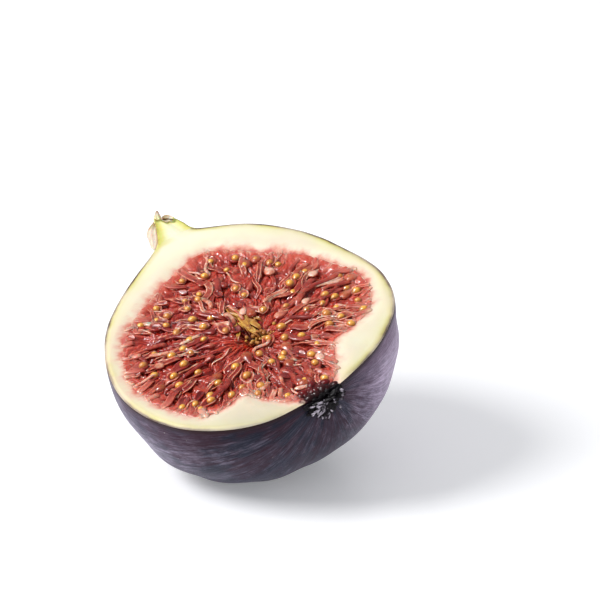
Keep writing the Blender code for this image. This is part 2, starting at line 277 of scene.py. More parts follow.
class Finish(Material):
    """A material whose colour is worked out step by step."""

    def fit(self, value, low, high, to_low=0.0, to_high=1.0):
        """A value from one range eased into another, held at its ends."""
        made = self.tree.nodes.new("ShaderNodeMapRange")
        made.interpolation_type = "SMOOTHSTEP"
        for socket, number in zip(made.inputs, (value, low, high, to_low, to_high)):
            self.feed(socket, number)
        return made.outputs["Result"]

    def stir(self, value, noise, amount, low=0.3, high=0.7):
        """A value made uneven by noise, by up to this amount each way."""
        return self.math("ADD", value, self.fit(noise, low, high, -amount, amount))

    def sideways(self, to_low, to_high):
        """A value that eases from one side of the fruit, -X, to the other."""
        place = self.node("ShaderNodeSeparateXYZ", Vector=self.place())
        return self.fit(place.outputs["X"], *SIDES, to_low, to_high)

    def ramp(self, value, *stops):
        """The colour that a value has on a ramp of (place, colour) stops."""
        made = self.tree.nodes.new("ShaderNodeValToRGB")
        self.feed(made.inputs["Fac"], value)
        elements = made.color_ramp.elements
        while len(elements) < len(stops):
            elements.new(0.5)
        for element, (place, colour) in zip(elements, stops):
            element.position = place
            element.color = (*colour, 1.0)
        return made.outputs["Color"]

    def mix(self, share, first, second):
        """The first colour with a share of the second in it."""
        made = self.tree.nodes.new("ShaderNodeMix")
        made.data_type = "RGBA"
        made.clamp_factor = True
        self.feed(made.inputs["Factor"], share)
        colours = [socket for socket in made.inputs if socket.type == "RGBA"]
        for socket, colour in zip(colours, (first, second)):
            self.feed(socket, colour if isinstance(colour, bpy.types.NodeSocket) else (*colour, 1.0))
        return next(socket for socket in made.outputs if socket.type == "RGBA")

    def over(self, tone, colour, value, near, far, share):
        """Lays a colour over a tone: this share of it where the value is at near, none from far on."""
        return self.mix(self.fit(value, near, far, share, 0.0), tone, colour)

    def bump(self, height, strength, distance):
        made = self.node("ShaderNodeBump", Height=height, Strength=strength, Distance=distance)
        self.tree.links.new(made.outputs["Normal"], self.shader.inputs["Normal"])

    def colour(self, output):
        self.tree.links.new(output, self.shader.inputs["Base Color"])
        print(f"{self.material.name}: {len(self.tree.nodes)} nodes lead to its colour")

    def roughness(self, output):
        self.tree.links.new(output, self.shader.inputs["Roughness"])


print("the flanks' colours meet between, mm:", [round(place / MM) for place in SIDES])

# %% [markdown]
# ## Skin finish: its marks
#
# A ripe fig's skin is almost black-purple, under a dull waxy bloom. Its flanks are lavender: partly the
# wax, and partly painted light, the brightness of flanks seen at a slant. Fine streaks run from the stalk
# to the eye. A painted picture could show them, but it would blur close up. Here they are noise, stretched
# along
# the grain: coordinates that the skin carries with it, two for round the fruit and one for along it. The
# smaller the last number of a scale, the longer its marks. A little sheen lightens what is seen at a slant.

# %% Skin finish: its marks
skin = Finish(
    "fig_skin",
    Roughness=0.5,
    Specular_IOR_Level=0.08,
    Sheen_Weight=0.22,
    Sheen_Roughness=0.40,
    Sheen_Tint=(0.72, 0.66, 0.88, 1.0),
)
grain = skin.vector("grain")
streaks = skin.noise(skin.place(grain, (2.4, 2.4, 0.17)), detail=5.0, roughness=0.7)
threads = skin.noise(skin.place(grain, (7.0, 7.0, 0.50)), detail=4.0, roughness=0.7)
blotches = skin.noise(skin.place(grain, (0.17, 0.17, 0.11)), detail=4.0, roughness=0.6)
bands = skin.noise(skin.place(grain, (0.34, 0.34, 0.025)), detail=3.0, roughness=0.6)
rubbed = skin.noise(skin.place(grain, (0.50, 0.50, 0.35)), detail=5.0, roughness=0.65)
print("noises that mark the skin:", sum(node.type == "TEX_NOISE" for node in skin.tree.nodes))

# %% [markdown]
# ## Skin finish: its colours
#
# Two darks lie in blotches, and the wax lies over them in streaks. It is thin by the cut where fingers and
# knife have been, and rubbed off in places. It is laid thickest and palest on the flanks, the +X one most,
# with plum in the darks under it. That is partly wax and partly painted light, as if the flanks caught
# light at a slant. Tiny pale specks are the skin's pores. Beside the cut the skin is darkest, and on the
# neck it turns green. One colour after another is laid over, as glazes are.

# %% Skin finish: its colours
BLUE_BLACK, WINE_BLACK, PLUM = (0.006, 0.007, 0.018), (0.026, 0.006, 0.014), (0.120, 0.062, 0.122)
# the second colour below, laid thickest on the flanks, is partly the wax's own and partly painted light
THIN_WAX, FLANK_WAX_AND_LIGHT = (0.058, 0.062, 0.095), (0.600, 0.490, 0.660)
PORE, BESIDE_CUT, NECK_GREEN = (0.42, 0.36, 0.34), (0.022, 0.008, 0.009), (0.300, 0.270, 0.070)

dark_skin = skin.mix(skin.fit(blotches, 0.42, 0.58), BLUE_BLACK, WINE_BLACK)
# the mask read here and below is partly wax and partly painted light: it lays plum into the flanks' darks
# and makes them paler, the +X flank most
wax_and_flank_light = skin.stir(skin.value("wax_and_flank_light"), rubbed, 0.25)
dark_skin = skin.mix(skin.fit(skin.value("wax_and_flank_light"), 0.1, 1.0, 0.0, 0.8), dark_skin, PLUM)
wax_and_light_colour = skin.mix(wax_and_flank_light, THIN_WAX, FLANK_WAX_AND_LIGHT)
from_cut = skin.value("from_cut")
wax_and_light_share = skin.math("ADD", skin.fit(streaks, 0.40, 0.70, 0.0, 0.6), skin.fit(threads, 0.46, 0.66, 0.0, 0.5))
# the flanks' mask adds wax and painted light to the share of bloom
wax_and_light_share = skin.math("ADD", wax_and_light_share, skin.fit(skin.value("wax_and_flank_light"), 0.1, 1.0, 0.0, 0.50))
wax_and_light_share = skin.math("MULTIPLY", wax_and_light_share, skin.fit(from_cut, 0.5, 8.0, 0.30, 1.0))
wax_and_light_share = skin.math("MULTIPLY", wax_and_light_share, skin.fit(bands, 0.36, 0.56, 0.62, 1.06))
skin_tone = skin.mix(wax_and_light_share, dark_skin, wax_and_light_colour)
pores = skin.fit(skin.spots(skin.place(grain, (0.42, 0.42, 0.42))), 0.030, 0.060, 0.5, 0.0)
skin_tone = skin.mix(pores, skin_tone, PORE)
skin_tone = skin.over(skin_tone, BESIDE_CUT, from_cut, 0.1, 1.3, 0.9)
greened = skin.stir(skin.value("to_stalk"), threads, 0.22, 0.35, 0.65)
greened = skin.math("MULTIPLY", greened, skin.fit(skin.value("to_stalk"), 0.0, 0.3))
skin_tone = skin.mix(greened, skin_tone, NECK_GREEN)
skin.colour(skin_tone)
skin.roughness(skin.fit(blotches, 0.3, 0.7, 0.40, 0.56))
skin.bump(skin.math("ADD", streaks, threads), 0.35, 0.00010)

# %% [markdown]
# ## Flesh finish: from the skin inwards
#
# The white flesh is not one colour. Against the skin it has a thin brown-purple line, then a yellow-green
# one, and then cream, yellower by the eye and almost white at the neck. Shade is painted on it too: the
# cream darkens towards the eye and towards the -X side, as if less light fell there. Bands could be
# separate faces, but they would have hard borders. So the points carry their distance from the skin and
# from the eye, and a ramp turns that distance into colour. A little light passes through the flesh, which
# softens the shading.

# %% Flesh finish: from the skin inwards
EYE_YELLOW, ROSY_CREAM, SHADED_CREAM = (0.560, 0.500, 0.160), (0.700, 0.610, 0.480), (0.480, 0.435, 0.315)
NECK_WHITE, STALK_YELLOW = (0.750, 0.740, 0.540), (0.560, 0.520, 0.140)
SKIN_BANDS = 4.0  # how deep the ramp reaches from the skin, mm

flesh = Finish(
    "fig_flesh",
    Roughness=0.45,
    Specular_IOR_Level=0.3,
    Subsurface_Weight=0.3,
    Subsurface_Radius=(1.0, 0.75, 0.45),
    Subsurface_Scale=0.0010,
)
flesh_place = flesh.place()
soft = flesh.noise(flesh_place, scale=420.0, detail=3.0)
cloudy = flesh.noise(flesh_place, scale=130.0, detail=2.0)
fibres = flesh.noise(flesh.place(flesh.vector("grain"), (0.42, 0.42, 0.30)), detail=3.0, roughness=0.6)
from_skin = flesh.stir(flesh.value("from_skin"), soft, 0.08)
flesh_tone = flesh.ramp(
    flesh.math("DIVIDE", from_skin, SKIN_BANDS),
    (0.000, (0.026, 0.008, 0.010)),
    (0.065, (0.080, 0.034, 0.020)),
    (0.110, (0.410, 0.355, 0.100)),
    (0.200, (0.600, 0.560, 0.230)),
    (0.380, (0.680, 0.650, 0.410)),
    (0.900, (0.720, 0.690, 0.520)),
)
yellowed = flesh.math(
    "MULTIPLY",
    flesh.fit(flesh.value("from_eye"), 1.0, 3.6, 1.0, 0.0),
    flesh.fit(flesh.value("from_skin"), 0.2, 3.6, 0.9, 0.0),
)
flesh_tone = flesh.mix(yellowed, flesh_tone, EYE_YELLOW)
flesh_tone = flesh.mix(flesh.fit(cloudy, 0.35, 0.7, 0.0, 0.55), flesh_tone, ROSY_CREAM)
# painted shade: the cream is darkened towards the eye and towards the -X side, as if in shade
painted_shade = flesh.fit(flesh.value("from_eye"), 2.0, 10.0, 0.85, 0.0)
painted_shade = flesh.math("MULTIPLY", painted_shade, flesh.sideways(1.0, 0.2))
flesh_tone = flesh.mix(painted_shade, flesh_tone, SHADED_CREAM)
flesh_tone = flesh.mix(flesh.value("neck"), flesh_tone, NECK_WHITE)
flesh_tone = flesh.mix(flesh.value("to_stalk"), flesh_tone, STALK_YELLOW)
print("the skin's bands reach in, mm:", SKIN_BANDS)

# %% [markdown]
# ## Flesh finish: pink by the pulp, black by the eye
#
# Where the flesh meets the pulp, juice has run into its fibres and stained them pink. Noise drawn out along
# the fibres moves that border to and fro, so it isn't a line. Round the eye the flesh is stained dark red
# and black.

# %% Flesh finish: pink by the pulp, black by the eye
PINK_HAZE, EYE_RED, EYE_BLACK = (0.690, 0.560, 0.430), (0.060, 0.006, 0.010), (0.006, 0.004, 0.006)
STAINED = 2.6  # how far the pink reaches into the flesh, mm

from_pulp = flesh.math("ADD", flesh.value("from_pulp"), flesh.fit(fibres, 0.25, 0.75, -0.9, 0.6))
from_pulp = flesh.math("ADD", from_pulp, flesh.fit(cloudy, 0.3, 0.7, 0.7, -0.3))
pink_tone = flesh.ramp(
    flesh.math("DIVIDE", from_pulp, STAINED),
    (0.00, (0.520, 0.110, 0.085)),
    (0.16, (0.610, 0.260, 0.190)),
    (0.42, (0.690, 0.480, 0.370)),
    (1.00, (0.720, 0.640, 0.490)),
)
flesh_tone = flesh.over(flesh_tone, PINK_HAZE, from_pulp, 2.0, 5.5, 0.35)
flesh_tone = flesh.over(flesh_tone, pink_tone, from_pulp, 0.8, STAINED, 1.0)
near_eye = flesh.stir(flesh.value("from_eye"), fibres, 0.25, 0.25, 0.75)
flesh_tone = flesh.over(flesh_tone, EYE_RED, near_eye, 1.05, 1.3, 1.0)
flesh_tone = flesh.over(flesh_tone, EYE_BLACK, near_eye, 0.85, 1.05, 1.0)
flesh.colour(flesh_tone)
flesh.bump(flesh.math("ADD", fibres, soft), 0.25, 0.00012)

# %% [markdown]
# ## The fruit's outline
#
# Skin and white flesh grow as one, so they will be one closed mesh with two finishes. Its form starts as an
# outline that is turned about the core, as a potter would throw it. Two Bezier curves give the outline: one
# from the neck over the shoulder to the belly, and one on to the eye. A curve object with a Screw modifier
# would turn it too, but its points couldn't carry the distances that the finishes need.

# %% The fruit's outline
BELLY_RADIUS, BELLY_HEIGHT, EYE_END = 26.6, 27.0, 0.6
SHOULDER_PULL, NECK_PULL = 22.0, 1.9
ROUND_PULL = 0.5523  # of the radius: a cubic curve's handle for a quarter circle
CURVE_STEPS = 400
SKIN_ROWS, SKIN_COLUMNS = 190, 250


def bezier(start, pull_start, pull_end, end, steps):
    """Points of a cubic curve between two ends, drawn out by two pulls."""
    t = np.linspace(0.0, 1.0, steps)[:, None]
    corners = [np.array(point, float) for point in (start, pull_start, pull_end, end)]
    weights = ((1 - t) ** 3, 3 * (1 - t) ** 2 * t, 3 * (1 - t) * t**2, t**3)
    return sum(weight * corner for weight, corner in zip(weights, corners))


def even_curve(curve, count):
    """The same line with its points evenly spaced."""
    length = np.concatenate([[0.0], np.cumsum(np.linalg.norm(np.diff(curve, axis=0), axis=1))])
    even = np.linspace(0.0, length[-1], count)
    return np.stack([np.interp(even, length, curve[:, k]) for k in range(curve.shape[1])], -1), even


shoulder_curve = bezier(
    (NECK_RADIUS, NECK_TOP),
    (NECK_RADIUS, NECK_TOP - NECK_PULL),
    (BELLY_RADIUS, BELLY_HEIGHT + SHOULDER_PULL),
    (BELLY_RADIUS, BELLY_HEIGHT),
    CURVE_STEPS,
)
base_curve = bezier(
    (BELLY_RADIUS, BELLY_HEIGHT),
    (BELLY_RADIUS, BELLY_HEIGHT - ROUND_PULL * (BELLY_HEIGHT - EYE_END)),
    (ROUND_PULL * BELLY_RADIUS, EYE_END),
    (0.0, EYE_END),
    CURVE_STEPS,
)
profile, run = even_curve(np.concatenate([shoulder_curve, base_curve[1:]]), SKIN_ROWS)


def base_height(radius):
    """How high the underside is above the eye's end at this distance from the core."""
    return np.interp(radius, base_curve[::-1, 0], base_curve[::-1, 1])


print("outline from neck to eye, mm:", run[-1].round(1))

# %% [markdown]
# ## Swellings
#
# No fig is as round as a pot. It is fuller where it had room, and flatter where it lay against a twig.
# Moving points by hand would do, but a few soft bells, each with a direction, a height and a half width,
# are easier to adjust.

# %% Swellings
PULP_CENTRE = np.array([0.1, 25.4, 0.0])
# (direction, height, half width) of each place where the fruit is fuller or flatter than a turned shape
FRUIT_SWELLINGS = (
    (134, 1.0, 28),
    (70, 1.0, 11),
    (28, -1.5, 20),
    (-18, 0.5, 16),
    (-66, -0.6, 16),
    (-92, -1.0, 12),
)
DEEP_SWELLINGS = ((-42, 1.1, 34), (196, 0.7, 26))  # the same, but only well below the cut


def swellings(direction, parts):
    """The sum of soft swellings, for directions in radians."""
    total = np.zeros(np.shape(direction))
    for middle, height, half_width in parts:
        away = (np.degrees(direction) - middle + 180) % 360 - 180
        total = total + height * np.exp(-((away / half_width) ** 2))
    return total


def fuller(grid):
    """Swells the fruit outwards from its middle."""
    offset = grid - PULP_CENTRE
    distance = np.linalg.norm(offset[..., :2], axis=-1)
    direction = np.arctan2(offset[..., 1], offset[..., 0])
    push = swellings(direction, FRUIT_SWELLINGS) * ease(6.0, 20.0, distance)
    deep = ease(2.0, 12.0, -grid[..., 2])
    push = push + swellings(direction, DEEP_SWELLINGS) * ease(3.0, 14.0, distance) * deep
    return grid + offset * (1.0, 1.0, 0.0) * (push / np.maximum(distance, 1.0))[..., None]


print("widest swelling, mm:", max(height for _, height, _ in FRUIT_SWELLINGS + DEEP_SWELLINGS))

# %% [markdown]
# ## The skin's form
#
# The outline is turned half a turn, from one side of the cut to the other. Ribs run along the fruit, low
# and not quite even, and lumps of two sizes lie over them. The eye sits a little to one side. Where the
# soft fruit rests, it gives: `pressed` bends what would be under the table up to it, with a round rim, as a
# Boolean cut would not.

# %% The skin's form
RIBS, RIB_HEIGHT = 17, 0.22
NECK_LEAN = -0.3
EYE_X = 3.6
GRAIN_RADIUS = 20.0
SOFTNESS = 0.30 * MM  # how round the rim of the pressed flat is
LIFTED = 12  # this many times that high above the table, nothing is pressed any more


def outside():
    """The grid of the skin, and the turn of each of its columns."""
    turn = np.linspace(math.pi, 2 * math.pi, SKIN_COLUMNS)[None, :]
    radius, height = profile[:, 0, None], profile[:, 1, None]
    # below the belly, the rings slide over towards the eye
    below = height < BELLY_HEIGHT
    x = radius * np.cos(turn) + np.where(below, EYE_X * (1 - (radius / BELLY_RADIUS) ** 2) ** 2, 0.0)
    z = radius * np.sin(turn)
    y = np.where(below, base_height(np.minimum(np.hypot(x, z), BELLY_RADIUS)), height + 0 * turn)
    z[:, 0] = z[:, -1] = 0.0
    # the ribs fade out towards the eye and the neck
    wave = np.cos(RIBS * turn + 0.9 * np.sin(3 * turn) + 0.5)
    shoulder = ease(0.0, BELLY_HEIGHT, height) * (1 - ease(NECK_TOP - 3, NECK_TOP, height))
    swell = RIB_HEIGHT * wave * shoulder * np.minimum(radius / BELLY_RADIUS * 3, 1.0)
    scale = 1 + swell / np.maximum(np.hypot(x, z), 1e-6)
    lean = NECK_LEAN * ease(NECK_TOP - 14, NECK_TOP, height)
    grid = fuller(flat_points(x * scale + lean, y + SHEAR * x, z * scale))
    # lumps of two sizes push it in and out, but never across the cut
    lumps = 0.22 * bumps(grid, 13.0, 3.7) + 0.07 * bumps(grid, 4.5, 9.1)
    fade = ease(0.0, 6.0, radius) * (1 - ease(NECK_TOP - 6, NECK_TOP, height))
    outward = np.broadcast_to(flat_points(np.cos(turn), 0.0, np.sin(turn)), grid.shape).copy()
    outward[:, [0, -1], 2] = 0.0
    return grid + outward * (lumps * fade)[..., None], turn


def pressed(grid):
    """The soft underside gives where it rests: nothing goes under the table. The flat's rim is round."""
    resting = placed(grid)
    low = resting[..., 2] / SOFTNESS
    given = SOFTNESS * np.log1p(np.exp(np.minimum(low, LIFTED)))
    resting[..., 2] = np.where(low > LIFTED, resting[..., 2], given)
    return drawn(resting)


skin_grid, turns = outside()
skin_grid = pressed(skin_grid)
skin_grain = flat_points(GRAIN_RADIUS * np.cos(turns), GRAIN_RADIUS * np.sin(turns), run[:, None])
print("skin, mm across:", np.ptp(skin_grid.reshape(-1, 3), axis=0).round(1))

# %% [markdown]
# ## The edge of the pulp
#
# The pulp fills a hollow that is widest towards the shoulders and pinched in by the white flesh beside the
# eye. The cut face and the pulp share this edge, so it is worked out once: a circle with swellings, like
# the fruit itself.

# %% The edge of the pulp
PULP_RADIUS, PULP_DEPTH = 23.6, 21.8
# (direction, height, half width) of each swelling of the pulp's outline
PULP_SWELLINGS = (
    (86, 4.3, 17),
    (241, -6.6, 11),
    (278, -3.3, 17),
    (316, -7.4, 19),
    (105, 1.1, 34),
    (340, -1.9, 24),
    (300, -1.3, 12),
    (280, 2.2, 10),
    (215, -0.6, 30),
    (255, -2.2, 8),
    (30, -0.8, 14),
)
EYE = np.array([3.3, 1.5, 0.0])
EYE_REACH = np.array([3.4, 2.5, 1.0])  # how far the black of the eye reaches on the cut
SPOKE_GRAIN = 24  # the more, the finer the grain that runs outwards from the middle


def pulp_reach(direction):
    """How far the pulp reaches from its centre, for directions in radians."""
    return PULP_RADIUS + swellings(direction, PULP_SWELLINGS)


def drawn_in(down):
    """How a bowl narrows below its rim, a little faster than a ball, so that it stays inside the skin."""
    return np.cos(down) * (1 - 0.17 * ease(0.0, 0.35, down))


reaches = pulp_reach(np.linspace(0, 2 * math.pi, 73))
print("the pulp reaches out, mm:", reaches.min().round(1), "to", reaches.max().round(1))

# %% [markdown]
# ## Distances that the finishes read
#
# Most colours of a cut fig depend on how far a spot is from something: the skin, the pulp, the eye. These
# helpers measure that on the cut. The last one gives coordinates that run outwards from the middle, for
# noise with a grain.

# %% Distances that the finishes read
def distance_to(line, points, ends_meet=False):
    """How far each point lies from a line of points, in the plane of the cut."""
    start, end = line[:-1, :2], line[1:, :2]
    if ends_meet:
        start, end = line[:, :2], np.roll(line[:, :2], -1, axis=0)
    nearest = np.full(points.shape[:-1], 1e9)
    for first, step in zip(start, end - start):
        offset = points[..., :2] - first
        t = np.clip((offset * step).sum(-1) / max((step**2).sum(), 1e-12), 0.0, 1.0)
        nearest = np.minimum(nearest, np.linalg.norm(offset - t[..., None] * step, axis=-1))
    return nearest


def from_eye(points):
    """1 at the rim of the eye's black, less inside it and more outside."""
    return np.linalg.norm((points - EYE) / EYE_REACH * (1.0, 1.0, 0.0), axis=-1)


def spokes(points):
    """Coordinates along and across lines from the middle of the pulp, for noise that runs outwards."""
    offset = points - PULP_CENTRE
    distance = np.linalg.norm(offset[..., :2], axis=-1)
    direction = np.arctan2(offset[..., 1], offset[..., 0])
    return flat_points(SPOKE_GRAIN * np.cos(direction), SPOKE_GRAIN * np.sin(direction), distance)


print("the eye's black is wide, mm:", 2 * EYE_REACH[0])

# %% [markdown]
# ## The cut face and the hollow
#
# The knife leaves a face that is nearly flat: it bulges a little between skin and pulp, because the flesh
# swells when it is cut, and it sinks at the eye. Its grid runs in rings from the pulp's edge to the skin's
# edge. A fill or an n-gon would be quicker, but has no points inside to carry colours. A bowl below it
# lines the hollow.

# %% The cut face and the hollow
FACE_RINGS, HOLLOW_RINGS = 44, 12
FLESH_BULGE, FLESH_WAVES = 0.16, 0.16
PULP_RIM_DIP, EYE_DIP = 0.25, 0.9
HOLLOW_GAP = 0.4  # between the pulp and the flesh under it, so that they never touch

left, right = skin_grid[:, 0], skin_grid[:, -1]
neck_middle = (left[0] + right[0]) / 2
edge = np.concatenate([left, right[::-1][1:], neck_middle[None]])
edge_direction = np.arctan2(edge[:, 1] - PULP_CENTRE[1], edge[:, 0] - PULP_CENTRE[0])
edge_ray = flat_points(np.cos(edge_direction), np.sin(edge_direction))
inner = PULP_CENTRE + pulp_reach(edge_direction)[:, None] * edge_ray
share = (1 - np.cos(np.linspace(0, math.pi, FACE_RINGS)))[:, None, None] / 2
face = inner + (edge - inner) * share
from_skin_mm = np.minimum(distance_to(left, face), distance_to(right, face))
from_pulp_mm = distance_to(inner, face, ends_meet=True)
near_eye_share = from_eye(face)
face[..., 2] = (
    FLESH_WAVES * bumps(face, 5.0, 1.3) * ease(0.0, 2.0, from_skin_mm)
    + FLESH_BULGE * ease(0.0, 1.0, from_skin_mm) * ease(0.0, 3.0, from_pulp_mm)
    - PULP_RIM_DIP * (1 - ease(0.0, 2.5, from_pulp_mm))
    - EYE_DIP * np.exp(-(near_eye_share**4)) * ease(0.0, 0.4, from_skin_mm)
)
down = np.linspace(0, math.pi / 2, HOLLOW_RINGS)[:, None, None]
bottom = np.array([0, 0, PULP_DEPTH + HOLLOW_GAP])
hollow = PULP_CENTRE + (face[0] - PULP_CENTRE) * drawn_in(down) - bottom * np.sin(down)
print("white flesh, mm thick:", from_skin_mm[0].min().round(1), "to", from_skin_mm[0].max().round(1))

# %% [markdown]
# ## The rind
#
# Four grids make the rind: the skin, a cap on the neck, the cut face and the hollow. Their borders have the
# same points, so they weld into one closed skin. Each grid carries the values that the two finishes read,
# also where a value has no meaning: there it is far away, so that nothing is coloured by mistake.

# %% The rind
GREEN_NECK = (56.6, 61.0)  # heights between which the skin turns from purple to green
FAR = 9.0
NOWHERE = {
    "from_skin": FAR,
    "from_pulp": FAR,
    "from_eye": FAR,
    "from_cut": FAR,
    "to_stalk": 0.0,
    "wax_and_flank_light": 0.0,
    "neck": 0.0,
    "grain": np.zeros((1, 1, 3)),
}
skin_x, skin_y, skin_z = skin_grid[..., 0], skin_grid[..., 1], skin_grid[..., 2]
purple_rim = ease(0.5, 2.5, skin_x) * (1 - ease(0.6, 2.2, -skin_z))
skin_values = {
    "grain": skin_grain,
    "from_cut": -skin_z,
    "to_stalk": ease(*GREEN_NECK, skin_y) * (1 - 0.7 * purple_rim),
    # partly wax and partly painted light: the flanks, +X most, are marked to be painted paler and plum
    "wax_and_flank_light": np.maximum(ease(1.0, 23.0, skin_x), 0.32 * ease(12.0, 26.0, -skin_x)),
}
face_x, face_y = face[..., 0], face[..., 1]
green_edge = (1 - ease(0.6, 1.4, from_skin_mm)) * (1 - ease(0.5, 2.5, face_x))
face_values = {
    "from_skin": from_skin_mm,
    "from_pulp": from_pulp_mm,
    "from_eye": near_eye_share,
    "from_cut": 0.0,
    "to_stalk": ease(58.5, 62.0, face_y) * green_edge,
    "wax_and_flank_light": 0.0,
    "neck": ease(52.0, 60.0, face_y) * ease(0.8, 2.0, from_skin_mm),
    "grain": spokes(face),
}
rind = Piece("rind_skin_and_flesh")
rind.add(skin_grid, **(NOWHERE | skin_values))
cap = np.stack([skin_grid[0], np.broadcast_to(neck_middle, skin_grid[0].shape)])
rind.add(cap, finish=1, **NOWHERE)
rind.add(face, closed=True, finish=1, **face_values)
rind.add(hollow, closed=True, finish=1, **NOWHERE)
rind.make([skin.material, flesh.material], ["rind"])

# %% [markdown]
# ## Pulp finish
#
# Under the florets the pulp is wet and crimson: nearly black-red in the furrows, redder on the ridges, and
# coral towards the wall and on the side that is less ripe. The black-red of the furrows is painted shade,
# laid on deeper than their own shape would cast. Light enters the pulp and comes out red, which is what
# subsurface scattering is for. A thin clear coat makes it wet. The coat stays weak, or the bright room
# would grey the reds.

# %% Pulp finish
CORAL, WALL_RED = (0.560, 0.085, 0.055), (0.540, 0.075, 0.050)
WALL_PINK, ROOT_PINK = (0.520, 0.120, 0.085), (0.640, 0.300, 0.220)
HOLLOW_BROWN, EYE_WINE, EYE_SOOT = (0.050, 0.014, 0.006), (0.090, 0.004, 0.010), (0.008, 0.003, 0.005)

pulp = Finish(
    "pulp_bed",
    Roughness=0.28,
    Specular_IOR_Level=0.15,
    Subsurface_Weight=0.9,
    Subsurface_Radius=(1.0, 0.16, 0.10),
    Subsurface_Scale=0.0010,
    Coat_Weight=0.25,
    Coat_Roughness=0.05,
)
pulp_noise = pulp.noise(pulp.place(), scale=900.0, detail=3.0)
pulp_patch = pulp.noise(pulp.place(), scale=260.0, detail=2.0)
pulp_fibres = pulp.noise(pulp.place(pulp.vector("grain"), (1.3, 1.3, 0.30)), detail=4.0, roughness=0.6)
ridge = pulp.stir(pulp.value("ridge"), pulp_fibres, 0.3)
ridge = pulp.stir(ridge, pulp_patch, 0.25)
# painted shade: the ramp darkens the furrows, where ridge is 0, to nearly black-red
pulp_tone = pulp.ramp(
    ridge,
    (0.00, (0.150, 0.003, 0.003)),
    (0.30, (0.205, 0.007, 0.005)),
    (0.62, (0.265, 0.015, 0.009)),
    (1.00, (0.360, 0.050, 0.027)),
)
at_edge = pulp.stir(pulp.value("from_edge"), pulp_fibres, 1.2)
at_edge = pulp.stir(at_edge, pulp_patch, 0.8)
less_ripe = pulp.math("MULTIPLY", pulp.sideways(0.0, 1.0), pulp.fit(pulp_patch, 0.3, 0.7, 0.15, 0.50))
pulp_tone = pulp.mix(less_ripe, pulp_tone, CORAL)
pulp_tone = pulp.over(pulp_tone, WALL_RED, at_edge, 0.5, 6.0, 0.35)
pulp_tone = pulp.over(pulp_tone, WALL_PINK, at_edge, 0.0, 2.6, 0.65)
pulp_tone = pulp.over(pulp_tone, ROOT_PINK, at_edge, -0.8, 0.6, 0.8)
from_middle = pulp.stir(pulp.value("from_middle"), pulp_noise, 0.6)
pulp_tone = pulp.over(pulp_tone, HOLLOW_BROWN, from_middle, 0.8, 3.8, 1.0)
near_eye = pulp.stir(pulp.value("from_eye"), pulp_fibres, 0.25)
pulp_tone = pulp.over(pulp_tone, EYE_WINE, near_eye, 1.2, 2.1, 0.9)
pulp_tone = pulp.over(pulp_tone, EYE_SOOT, near_eye, 0.8, 1.2, 1.0)
pulp.colour(pulp_tone)
pulp.bump(pulp_noise, 0.4, 0.00015)

# %% [markdown]
# ## Ridges in the bed
#
# The bed is folded into strands that run outwards, because everything in a fig grows inwards from the wall.
# A real fig has about as many strands per millimetre near the middle as near the wall. So three sets of
# ridges, each with more strands than the last, take over from one another on the way out, and fine ones
# break them all up. The furrows are where smooth noise crosses zero, which gives lines that fork and join,
# as the real ones do.

# %% Ridges in the bed
# (strands round, where in the noise) of each set, from the middle outwards
RIDGE_SETS = ((6.5, 4.4), (11.0, 7.7), (16.0, 1.9))
RIDGE_LENGTH, FINE_LENGTH = 4.5, 2.6
FINE_START, FINE_SEED = 14.0, 6.3
FINE_SHARE = 0.42  # how deep the fine furrows cut the broad ridges


def crossing(swung, around, along, seed, width):
    """0 in the furrows where the noise crosses zero, 1 on the round tops between them."""
    place = flat_points(around * np.cos(swung), around * np.sin(swung), along)
    return np.minimum(np.abs(bumps(place, 1.0, seed)) / width, 1.0)


def ridges(direction, distance):
    """0 in the furrows and 1 on the round tops of the strands that run outwards in the bed."""
    spot = flat_points(distance * np.cos(direction), distance * np.sin(direction), 0.0)
    swung = direction + 0.24 * bumps(spot, 6.0, 2.2) + 0.14 * bumps(spot, 3.0, 5.5)
    inner, middle, outer = (
        crossing(swung, around, distance / RIDGE_LENGTH, seed, 0.38) for around, seed in RIDGE_SETS
    )
    shown = inner + (middle - inner) * ease(4.0, 9.0, distance)
    shown = shown + (outer - middle) * ease(12.0, 19.0, distance)
    fine = crossing(swung, FINE_START + 1.0 * distance, distance / FINE_LENGTH, FINE_SEED, 0.30)
    return np.sin(shown * math.pi / 2) * (1 - FINE_SHARE + FINE_SHARE * np.sin(fine * math.pi / 2))


print("sets of ridges:", len(RIDGE_SETS) + 1)

# %% [markdown]
# ## The pulp's bed
#
# Its top is a height map in polar form, spokes and rings, so the ridges follow the grid and stay crisp. It
# sinks below the knife's cut, so that what stands on it has depth, and dips to a small hollow in the
# middle. A bowl under it makes it a closed solid that hugs the hollow of the rind.

# %% The pulp's bed
BED_SPOKES, BED_RINGS, BED_BOTTOM_RINGS = 700, 122, 10
BED_SINK, RIDGE_HEIGHT = 1.15, 0.72
MIDDLE_HOLLOW = 1.8
PAST_EDGE = 1.05  # the bed goes this far under the rind's rim, as a share of its reach
PAST_EDGE_DIP = 0.8
BED_RIM_DIP = 0.28

